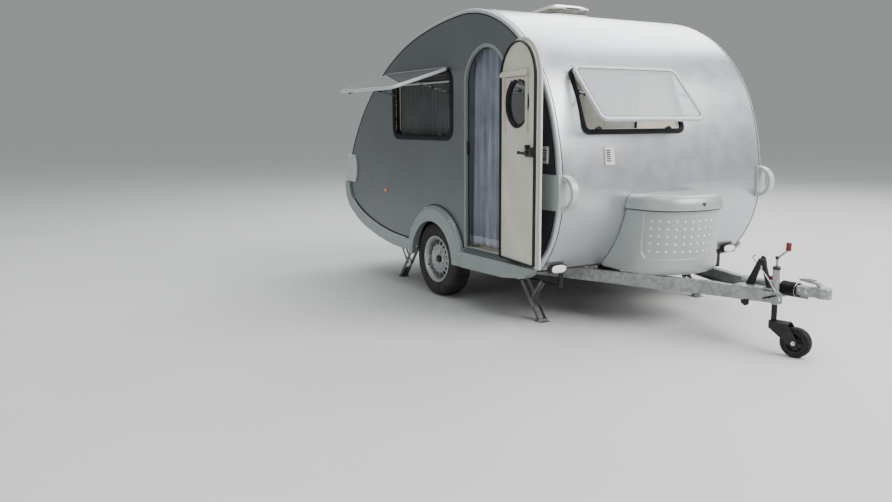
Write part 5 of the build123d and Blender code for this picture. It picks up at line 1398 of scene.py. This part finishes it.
o = merge("jockey_hub", [lathe(prof, jw, 56, closed_profile=True)] + [
    box_part(lambda u, v, w=0.0, a=a: jw(u * math.cos(a) - w * math.sin(a), u * math.sin(a) + w * math.cos(a), v), (20, 52), (-16, 16), (-1.8, 1.8), 1.5)
    for a in [2 * math.pi * k / 6 for k in range(6)]], "black_plastic", "jockey_wheel", 45)
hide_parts("jockey_wheel")
parts = []
for w0, w1 in ((-43.5, -50.5), (43.5, 50.5)):
    parts.append(prism(circle(9.5, 6, 0, 0), jw, w0, w1, 1.2, 2))
    parts.append(prism(circle(13, 20, 0, 0), jw, w0 * 0.985, w0 * 1.03, 0.5, 1))
merge("jockey_axle_nuts", parts, "steel_bright", "jockey_fork", 40)

# crank: grip turned on its bolt, collar and cap on the tube, clamp with its tommy bar
up = lambda x, y: (lambda c, s_, ax: P(x + c, y + s_, ax))
knob = [(642, 5), (642, 11), (646, 15.2), (654, 16.2), (668, 15.0), (680, 15.6), (688, 16.2), (693, 13), (695, 8), (695.5, 0.3)]
merge("crank_grip", [lathe(knob, up(JOCKEY_X + 74, JOCKEY_Y), 32)], "knob_red", "caravan", 50)
cap = [(520, 21.3), (520, 23.0), (531, 23.4), (537, 22.2), (540, 18), (541.5, 7.3)]
merge("jockey_tube_cap", [lathe(cap, up(JOCKEY_X, JOCKEY_Y), 40), lathe([(584, 8.2), (584, 12), (600, 12), (602, 8)], up(JOCKEY_X, JOCKEY_Y), 24)], "black_plastic", "caravan", 50)
parts = [tube(smooth_path([P(JOCKEY_X, JOCKEY_Y - 58, 356), P(JOCKEY_X, JOCKEY_Y - 40, 356), P(JOCKEY_X, JOCKEY_Y - 22, 356)], 6), 8, 12),
         tube([P(JOCKEY_X - 46, JOCKEY_Y - 56, 340), P(JOCKEY_X + 46, JOCKEY_Y - 56, 372)], 5, 12)]
merge("jockey_clamp_screw", parts, "black_steel", "caravan", 60)

# ---------------------------------------------------------------- drawbar fittings
side_at = lambda y: (lambda u, v, w=0.0: P(u, y - w, v))
parts = []
for s in (-1, 1):
    for x, yy in ((2410.0, 161.0), (2520.0, 149.0)):
        top = lambda u, v, w=0.0, x=x, yy=yy, s=s: P(x + u, s * (yy - 22) + v, 393.0 + w)
        parts.append(bolt(top, 0, 0, 0.0, 17, 9))
merge("drawbar_bolts", parts, "steel_bright", "caravan", 40)
# handbrake: rod down to the rail's end, hooks at the lever's top, pawl button
rod = [P(2500, -60, 520), P(2504, -62, 508), P(2600, -98, 440), P(2690, -134, 366), P(2706, -141, 346), P(2712, -141, 330)]
merge("handbrake_rod", [tube(smooth_path(rod, 10), 4.6, 12)], "steel_bright", "caravan", 60)
parts = [tube(smooth_path([P(2468, -41, 520), P(2446, -52, 548), P(2436, -56, 566), P(2446, -56, 578), P(2462, -56, 574)], 12), 3.6, 10),
         tube(smooth_path([P(2492, -41, 548), P(2484, -41, 566), P(2496, -41, 580), P(2514, -41, 578), P(2518, -41, 562)], 10), 3.2, 10)]
merge("handbrake_hooks", parts, "galvanised", "caravan", 60)
grip_at = frame_of(P(2488, -41, 540), (1, 0, 0), (0, 1, 0))
parts = [lathe([(-6, 0.3), (-6, 12.5), (0, 14), (16, 13.2), (30, 14.4), (38, 12.5), (42, 7), (43, 0.3)],
               (lambda c, s_, ax: P(2512 - 0.30 * (ax - 8), -41 + s_, 540 + ax * 0.95) + Vector((c / 1000, 0, 0))), 28)]
merge("handbrake_grip", parts, "black_rubber", "caravan", 50)
red = lambda c, s_, ax: P(2566 + ax, -41 + c, 452 + s_)
merge("handbrake_button", [lathe([(-14, 0.3), (-14, 9), (-10, 13), (8, 14), (14, 10), (15, 0.3)], red, 28),
                           tube([P(2536, -41, 466), P(2582, -41, 440)], 7.5, 12)], "knob_red", "caravan", 50)
# step brackets on both rails
parts = []
for s in (-1, 1):
    parts.append(prism([(2438, 316), (2504, 316), (2500, 284), (2474, 272), (2446, 284)], side_at(s * 156 + 3), 0, 6, 1.5, 2))
merge("rail_brackets", parts, "black_steel", "caravan", 40)
# bolts through the bellows' plate, cap on the coupling's nose, lips along its top and a pin across it
parts = []
for s in (-1, 1):
    for x, z in ((2760, 408), (2806, 404)):
        at = lambda u, v, w=0.0, s=s, x=x, z=z: P(x + u, s * (29 + w), z + v)
        parts.append(bolt(at, 0, 0, 0.0, 15, 8))
merge("coupling_bolts", parts, "steel_bright", "caravan", 40)
at = lambda c, s_, ax: P(2905 + c, s_, 434 + ax)
merge("coupling_cap", [lathe([(-0.5, 38), (2, 36), (8, 30), (12, 20), (13.5, 0.3)], at, 40)], "galvanised", "caravan", 60)
lip = [P(2748, 0, 469), P(2790, 0, 474.5), P(2838, 0, 470)]
parts = [tube([q + Vector((0, e * 0.0135, 0)) for q in smooth_path(lip, 14)], 4.2, 10) for e in (-1, 1)]
parts.append(tube([P(2887, -19, 440), P(2887, 19, 440)], 6.0, 12))
merge("coupling_lips", parts, "galvanised", "caravan", 60)

# pivot bolts on the steadies' foot plates
for q, (px, py, d) in {"front_right": (1030, -790, 1), "front_left": (1030, 790, 1), "rear_right": (-600, -790, -1), "rear_left": (-600, 790, -1)}.items():
    parts = []
    for e in (-1, 1):
        at = lambda u, v, w=0.0, px=px, py=py, e=e: P(px + u, py + e * (45 + w), 290 + v)
        parts.append(bolt(at, 0, 0, 0.0, 17, 7))
    merge("steady_bolts_" + q, parts, "steel_bright", "caravan", 40)

# ---------------------------------------------------------------- cabin
def cushion(name, lo, hi, body, mat, seed):
    """Foam cushion: crowned form with sides drawn in, blown up a little by cloth pressure."""
    cx, cy, cz = ((a + b) / 2 for a, b in zip(lo, hi))
    hx_, hy_, hz_ = ((b - a) / 2 - g for a, b, g in zip(lo, hi, (8, 8, 9)))
    bm = bmesh.new()
    bmesh.ops.create_cube(bm, size=2.0)
    bmesh.ops.subdivide_edges(bm, edges=bm.edges[:], cuts=15, use_grid_fill=True)
    for v in bm.verts:
        x, y, z = v.co
        pull = 0.018 * (1 - x * x) * (abs(y) > 0.999) + 0.018 * (1 - y * y) * (abs(x) > 0.999)
        n = 6.0
        l = (abs(x) ** n + abs(y) ** n + abs(z) ** n) ** (1 / n)
        f = Vector((x, y, z)) / l
        f = Vector((x, y, z)).lerp(f, 0.8)
        crown = 0.14 * (1 - x * x) * (1 - y * y) if z > 0 else 0.0
        v.co = P(cx + hx_ * f.x * (1 - pull), cy + hy_ * f.y * (1 - pull), cz + hz_ * (f.z * 0.86 + crown - 0.10))
    me = bpy.data.meshes.new(name)
    bm.to_mesh(me)
    bm.free()
    me.materials.append(MAT[mat])
    o = bpy.data.objects.new(name, me)
    bpy.context.scene.collection.objects.link(o)
    rm = o.modifiers.new("even", "REMESH")
    rm.mode, rm.voxel_size = "VOXEL", 0.012
    bake(o)
    rest = [v.co.copy() for v in o.data.vertices]
    cl = o.modifiers.new("cloth", "CLOTH")
    st = cl.settings
    st.quality = 4
    st.use_pressure = True
    st.uniform_pressure_force = 4.0
    st.mass = 0.3
    st.tension_stiffness = st.compression_stiffness = 25
    st.effector_weights.gravity = 0.0
    cl.collision_settings.use_collision = False
    sc = bpy.context.scene
    sc.frame_start, sc.frame_end = 1, 20
    for f in range(1, 17):
        sc.frame_set(f)
    bake(o)
    sc.frame_set(1)
    b0 = P(lo[0] + 2, lo[1] + 2, lo[2] + 1)
    b1 = P(hi[0] - 2, hi[1] - 2, hi[2] - 2)
    for v, r in zip(o.data.vertices, rest):
        dlt = v.co - r
        if dlt.length > 0.016:
            dlt = dlt.normalized() * 0.016
        q = r + dlt
        q.z = r.z + dlt.z * 0.7 if r.z > b0.z + 0.03 else max(r.z, b0.z)
        v.co = Vector((min(max(q.x, b0.x), b1.x), min(max(q.y, b0.y), b1.y), min(max(q.z, b0.z), b1.z)))
    for p in o.data.polygons:
        p.use_smooth = True
    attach(o, body)
    return o


def bake(o):
    dg = bpy.context.evaluated_depsgraph_get()
    me = bpy.data.meshes.new_from_object(o.evaluated_get(dg))
    o.modifiers.clear()
    old = o.data
    o.data = me
    bpy.data.meshes.remove(old)


c0, c1 = -900.0, -380.0
for k, (ya, yb) in enumerate(((-940, -318), (-311, 311), (318, 940))):
    nm = "seat_cushion_" + ("right", "middle", "left")[k]
    o = cushion(nm, (c0, ya, 762), (c1, yb, 881), "caravan", "seat_fabric", k)
    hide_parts("seat_cushions")
    # piping following the cushion's widest line near its top and bottom
    bpy.context.view_layer.update()
    vs = [v.co for v in o.data.vertices]
    lines = []
    for zt in (0.850, 0.779):
        path = []
        cx, cy = P((c0 + c1) / 2, (ya + yb) / 2, 0)[:2]
        near = [v for v in vs if abs(v.z - zt) < 0.010]
        for a in range(72):
            t = 2 * math.pi * a / 72
            hw, hd = (c1 - c0) / 2000, (yb - ya) / 2000
            dx, dy = math.cos(t), math.sin(t)
            sc_ = 1.0 / max(abs(dx) / hw, abs(dy) / hd)
            ex, ey = cx + dx * sc_, cy + dy * sc_
            v = min(near, key=lambda q: (q.x - ex) ** 2 + (q.y - ey) ** 2)
            path.append(Vector((v.x, v.y, zt)))
        clean = [path[0]]
        for q in path[1:]:
            if (q - clean[-1]).length > 0.012:
                clean.append(q)
        for _ in range(2):
            n = len(clean)
            clean = [(clean[i - 1] + clean[i] * 2 + clean[(i + 1) % n]) / 4 for i in range(n)]
        lines.append(tube(clean, 3.4, 8, closed=True))
    merge(nm + "_piping", lines, "seat_fabric", "caravan", 70)


def pleated(name, x0, x1, y, z0, z1, amp, pitch, seed, mat, side=1, gather=0.0):
    """Hanging curtain: pleats fixed along the heading that wander and open towards the hem."""
    r = random.Random(seed)
    n = int((x1 - x0) / 3.2)
    count = int((x1 - x0) / pitch)
    phase = [r.uniform(-0.35, 0.35) for _ in range(count + 2)]
    size = [r.uniform(0.55, 1.0) for _ in range(count + 2)]
    drift = [r.uniform(-9, 9) for _ in range(count + 2)]
    rows = int((z1 - z0) / 22)
    verts, faces = [], []
    for j in range(rows + 1):
        t = j / rows
        z = z0 + (z1 - z0) * t
        for i in range(n + 1):
            u = i / n
            g = u * count
            k = int(g)
            f = g - k
            e = f * f * (3 - 2 * f)
            ph = phase[k] * (1 - e) + phase[k + 1] * e
            am = size[k] * (1 - e) + size[k + 1] * e
            dr = drift[k] * (1 - e) + drift[k + 1] * e
            w = math.sin(2 * math.pi * (g + ph * (1.2 - t)) + 0.6 * math.sin(2.4 * t + k))
            w = math.copysign(abs(w) ** 0.8, w)
            fine = 0.16 * math.sin(2 * math.pi * (g * 2.7 + 0.8 * t + seed))
            q = (w * am + fine) * amp * (0.82 + 0.18 * (1 - t))
            xx = x0 + (x1 - x0) * u + dr * (1 - t) * math.sin(math.pi * u) * (0.6 if 0 < i < n else 0)
            verts.append(P(xx, y + side * max(-amp, min(amp, q)), z + (1.2 * math.sin(9 * u + seed) if j == 0 else 0)))
    m = n + 1
    for j in range(rows):
        for i in range(n):
            faces.append((j * m + i, j * m + i + 1, (j + 1) * m + i + 1, (j + 1) * m + i))
    across = sum((verts[i + 1] - verts[i]).length for i in range(n))
    o = add(name, verts, faces, mat, "caravan", 180)
    sd = o.modifiers.new("thickness", "SOLIDIFY")
    sd.thickness, sd.offset = 0.0009, 0.0
    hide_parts("curtains")
    return o


o = pleated("door_curtain", 443, 1073, -908, 481, 1950, 21.5, 88, 5, "curtain_fabric")
rail = [tube([P(436, -908, 1957), P(1080, -908, 1957)], 7.0, 14)]
for x in (446, 1070):
    rail.append(prism(circle(11, 20), frame_of(P(x, -908, 1957), (0, 1, 0), (0, 0, 1)), -6, 6, 2, 2))
    rail.append(tube([P(x, -908, 1957), P(x, -962, 1957)], 6.0, 12))
merge("door_curtain_rail", rail, "white_plastic", "caravan", 50, "white_plastic")
hem = []
for side, s in (("right", -1), ("left", 1)):
    # right net drawn dark as painted shade, left net light as painted backlight
    pleated("window_curtain_" + side, WIN_X - 452, WIN_X + 452, s * 930, 1276, 1776, 10.5, 36, 7 + s, "net_painted_shade" if s < 0 else "net_painted_backlight", s)

# bench fronts, kitchen doors and drawers, worktop edge, sink and tap
parts = []
for k in range(3):
    y0 = -560 + k * 385
    at = lambda u, v, w=0.0: P(-380 + w, u, v)
    parts.append(prism(rrect(360, 250, 18, y0 + 175, 605), at, 0, 9, 2.5, 2))
front = lambda u, v, w=0.0: P(u, 570 - w, v)
for k in range(3):
    x = 590 + k * 258
    parts.append(prism(rrect(246, 520, 14, x, 740), front, 0, 13, 3, 2))
    parts.append(prism(rrect(246, 170, 14, x, 1100), front, 0, 13, 3, 2))
merge("cabinet_fronts", parts, "cabinet_wood", "caravan", 40)
parts = []
for k in range(3):
    x = 590 + k * 258
    for z in (985, 1100):
        parts.append(tube(smooth_path([front(x - 48, z, 12), front(x - 48, z, 30), front(x + 48, z, 30), front(x + 48, z, 12)], 12), 4.0, 10))
for k in range(3):
    y = -560 + k * 385 + 175
    at = lambda u, v, w=0.0: P(-380 + w, u, v)
    parts.append(tube(smooth_path([at(y - 40, 680, 8), at(y - 40, 680, 24), at(y + 40, 680, 24), at(y + 40, 680, 8)], 10), 3.6, 10))
merge("cabinet_handles", parts, "steel_bright", "caravan", 50)
top = frame_of(P(850, 755, 1318), (1, 0, 0), (0, 1, 0))
merge("worktop_edge", [loop_sweep(rrect(800, 400, 6), [(0.2, -27), (2.2, -24), (2.6, -14), (2.2, -3), (0, 0.4), (-3, 0.6), (-3, -0.2), (0, -0.4)], top)], "black_plastic", "caravan", 50)
rimr = [(0, 0.3), (0, 150), (2, 152), (3.2, 149), (3.0, 138), (1.2, 134), (1.0, 0.3)]
sink = lambda c, s_, ax: P(1050 + c, 745 + s_, 1318 + ax)
merge("sink_bowl", [lathe([(0.2, 0.3), (0.4, 105), (0.8, 118), (2.5, 126), (4.2, 134), (4.2, 146), (2.4, 151), (0.2, 152)], sink, 56)], "steel_bright", "caravan", 50)
hob = lambda c, s_, ax: P(690 + c, 745 + s_, 1318 + ax)
parts = [prism(rrect(330, 290, 30, 690 - 850, -10), top, 0.0, 6.0, 2, 2)]
merge("hob_plate", parts, "black_plastic", "caravan", 40)
parts = []
for u in (-75, 75):
    at = lambda c, s_, ax, u=u: P(690 + u + c, 745 + s_, 1324 + ax)
    parts.append(lathe([(0, 0.3), (0, 44), (6, 42), (9, 30), (10, 0.3)], at, 32))
    parts.append(loop_sweep(circle(58, 28, 690 + u - 850, -10), [(0, 12), (4, 12), (4, 16), (0, 16)], top))
    for k in range(4):
        t = math.pi / 4 + math.pi / 2 * k
        parts.append(tube([P(690 + u + 20 * math.cos(t), 745 + 20 * math.sin(t), 1332), P(690 + u + 60 * math.cos(t), 745 + 60 * math.sin(t), 1332)], 2.5, 8))
merge("hob_burners", parts, "black_steel", "caravan", 40)
tap = smooth_path([P(1050, 920, 1318), P(1050, 920, 1440), P(1050, 860, 1452), P(1050, 812, 1436), P(1050, 808, 1420)], 30, 8)
merge("sink_tap", [tube(tap, 8, 16), lathe([(0, 18), (0, 20), (6, 20), (10, 14), (16, 12)], lambda c, s_, ax: P(1050 + c, 920 + s_, 1318 + ax), 28)], "steel_bright", "caravan", 60)
tab = frame_of(P(-90, 0, 1143), (1, 0, 0), (0, 1, 0))
merge("table_edge", [loop_sweep(rrect(520, 760, 60), [(0.2, -24), (2.6, -21), (3.2, -12), (2.6, -3), (0, 0.5), (-3, 0.7), (-3, -0.2), (0, -0.5)], tab)], "black_plastic", "caravan", 50)
parts = [lathe([(0, 150.2), (0, 153), (10, 153), (14, 148), (16, 34), (40, 31.5), (44, 30.2)], lambda c, s_, ax: P(-90 + c, s_, 440 + ax), 48)]
merge("table_foot", parts, "steel_bright", "caravan", 50)

# ---------------------------------------------------------------- floor, light, finish
def floor_material():
    M = Mat("studio_floor")
    M.link(M.mix(M.ranged(M.noise(0.7, 3.0), 0.0, 1.0), hx(206, 207, 206), hx(212, 213, 212)), M.b.inputs["Base Color"])
    M.link(M.ranged(M.noise(30.0, 3.0), 0.75, 0.85), M.b.inputs["Roughness"])
    return M.m


me = bpy.data.meshes.new("floor")
me.from_pydata([(-60, -60, 0), (60, -60, 0), (60, 60, 0), (-60, 60, 0)], [], [(0, 1, 2, 3)])
floor = bpy.data.objects.new("floor", me)
me.materials.append(floor_material())
bpy.context.scene.collection.objects.link(floor)

world = bpy.data.worlds.new("studio")
bpy.context.scene.world = world
world.use_nodes = True
wt = world.node_tree
bg = wt.nodes["Background"]
grad = wt.nodes.new("ShaderNodeTexGradient")
wc = wt.nodes.new("ShaderNodeTexCoord")
mp = wt.nodes.new("ShaderNodeMapping")
mp.inputs["Rotation"].default_value = (0, math.radians(90), 0)
ramp = wt.nodes.new("ShaderNodeValToRGB")
ramp.color_ramp.elements[0].position, ramp.color_ramp.elements[0].color = 0.30, (0.56, 0.58, 0.575, 1)
ramp.color_ramp.elements[1].position, ramp.color_ramp.elements[1].color = 0.72, (0.95, 0.98, 1.0, 1)
wt.links.new(wc.outputs["Generated"], mp.inputs["Vector"])
wt.links.new(mp.outputs[0], grad.inputs["Vector"])
wt.links.new(grad.outputs["Fac"], ramp.inputs["Fac"])
wt.links.new(ramp.outputs["Color"], bg.inputs["Color"])
bg.inputs["Strength"].default_value = 0.55


def area_light(name, at, target, size, power, col=(1, 1, 1)):
    d = bpy.data.lights.new(name, "AREA")
    d.shape, d.size, d.size_y, d.energy, d.color = "RECTANGLE", size[0], size[1], power, col
    o = bpy.data.objects.new(name, d)
    o.location = at
    o.rotation_euler = (Vector(target) - Vector(at)).to_track_quat("-Z", "Y").to_euler()
    bpy.context.scene.collection.objects.link(o)
    return o


area_light("key", (8.0, 3.0, 8.0), (0.0, 0.0, 1.2), (11.0, 8.0), 1750.0, (1.0, 0.99, 0.97)).data.shape = "ELLIPSE"
area_light("top", (-1.5, -1.0, 9.5), (0.0, 0.0, 1.2), (8.0, 6.0), 430.0, (0.96, 0.98, 1.0))
area_light("fill", (1.5, -9.5, 3.2), (0.0, 0.0, 1.0), (6.0, 3.5), 90.0, (0.97, 0.99, 1.0))
o = area_light("cabin", (-0.15, 0.0, 1.93), (-0.15, 0.0, 0.0), (0.8, 0.6), 34.0, (1.0, 0.985, 0.95))
o.visible_camera = False
area_light("back", (-4.0, 7.2, 8.6), (0.4, 0.0, 1.6), (7.5, 6.5), 900.0, (0.97, 0.99, 1.0))
